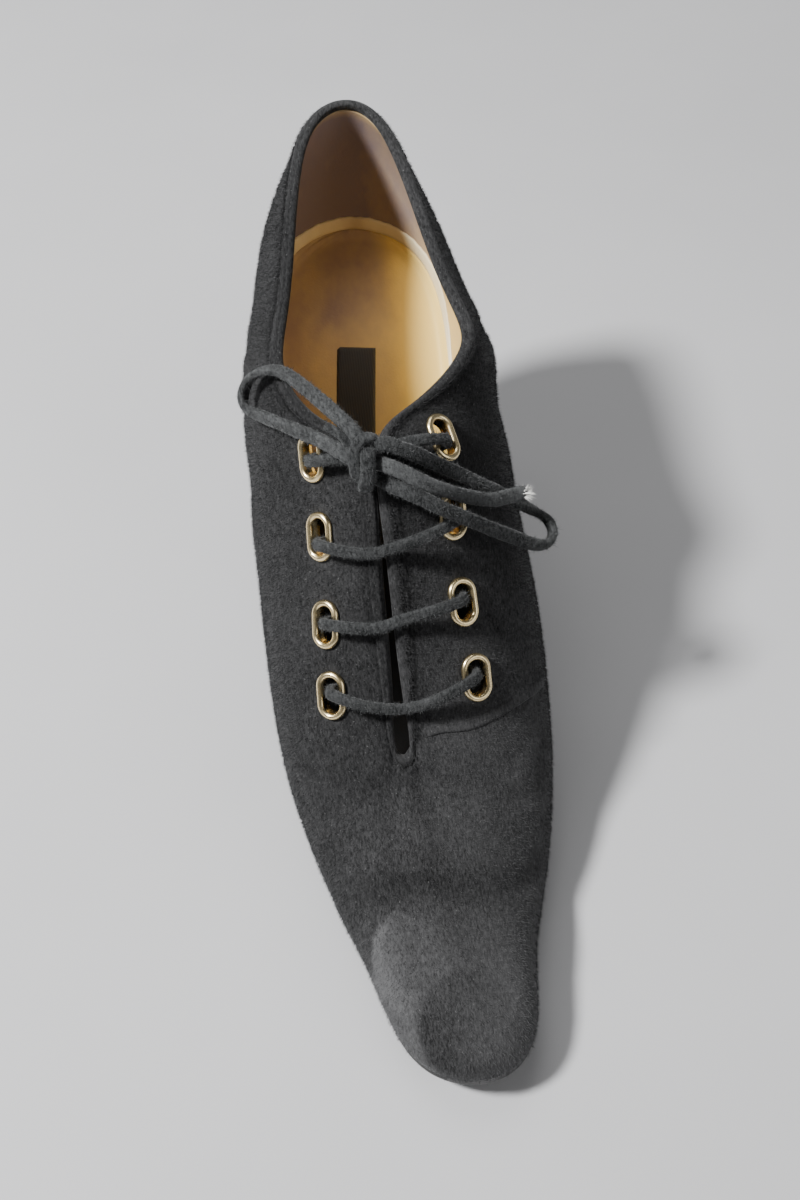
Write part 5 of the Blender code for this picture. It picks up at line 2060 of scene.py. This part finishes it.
@dataclass
class Studio:
    """Floor, lights and camera."""

    last: Last
    camera_place: Triple = (-18.5, -96.0, 321.0)
    yaw: float = 4.82
    pitch: float = 51.91
    roll: float = -2.55
    focal_pixels: float = 1283.0
    picture_height: float = 1200.0
    sensor: float = 36.0
    clip_start: float = 0.01
    floor_half: float = 2.5
    floor_scale: float = 6.0
    floor_dark: Triple = (0.56, 0.56, 0.57)
    floor_pale: Triple = (0.60, 0.60, 0.61)
    sky: Triple = (0.86, 0.86, 0.87)
    sky_strength: float = 0.165
    aim: Triple = (0.0, 0.0, 0.06)

    def build(self) -> None:
        """Make the floor, the lights and the camera."""
        self.build_camera()
        self.build_floor()
        self.build_lights()

    def build_camera(self) -> None:
        """The camera, at the photograph's angle to the shoe."""
        yaw, pitch, roll = (math.radians(angle) for angle in (self.yaw, self.pitch, self.roll))
        flat = np.array((math.sin(yaw), math.cos(yaw), 0.0))
        ahead = flat * math.cos(pitch) - UPWARD * math.sin(pitch)
        level = np.array((math.cos(yaw), -math.sin(yaw), 0.0))
        above = np.cross(level, ahead)
        right = math.cos(roll) * level + math.sin(roll) * above
        up = math.cos(roll) * above - math.sin(roll) * level
        data = bpy.data.cameras.new("camera")
        data.sensor_width = self.sensor
        data.lens = self.focal_pixels / self.picture_height * self.sensor
        data.clip_start = self.clip_start
        place = np.array(self.camera_place) * MM - self.last.origin
        camera = linked("camera", data)
        camera.matrix_world = placed(right, up, -ahead, place)
        bpy.context.scene.camera = camera

    def build_floor(self) -> None:
        """A wide pale floor."""
        corners = np.array(((-1, -1, 0), (1, -1, 0), (1, 1, 0), (-1, 1, 0))) * self.floor_half
        mesh = bpy.data.meshes.new("floor")
        mesh.from_pydata(corners.tolist(), [], [(0, 1, 2, 3)])
        graph = Graph("pale_floor", roughness=0.7)
        cloud = graph.ranged(graph.noise(self.floor_scale), MIDDLE)
        graph.feed("Base Color", graph.mix(cloud, self.floor_dark, self.floor_pale))
        mesh.materials.append(graph.material)
        linked("floor", mesh)

    def build_lights(self) -> None:
        """A soft key light from the left, a fill from the right and a broad light overhead."""
        world = bpy.data.worlds.new("studio")
        world.use_nodes = True
        background = world.node_tree.nodes["Background"]
        background.inputs["Color"].default_value = (*self.sky, 1.0)
        background.inputs["Strength"].default_value = self.sky_strength
        bpy.context.scene.world = world
        for lamp in LAMPS:
            data = bpy.data.lights.new(lamp.name, "AREA")
            data.shape = "DISK"
            data.size = lamp.size
            data.energy = lamp.power
            ahead = unit(np.array(self.aim) - np.array(lamp.place))
            side = unit(np.cross(ahead, UPWARD))
            light = linked(lamp.name, data)
            light.matrix_world = placed(side, np.cross(side, ahead), -ahead, np.array(lamp.place))


def main() -> None:
    """Build the studio and the shoe, piece by piece."""
    logging.basicConfig(level=logging.INFO, format="%(name)s %(message)s")
    last = Last()
    Studio(last).build()
    eyelets = Eyelets()
    Lace(last, eyelets).build()
    eyelets.build()
    Upper(last, eyelets).build()
    SolePack(last).build()


if __name__ == "__main__":
    main()
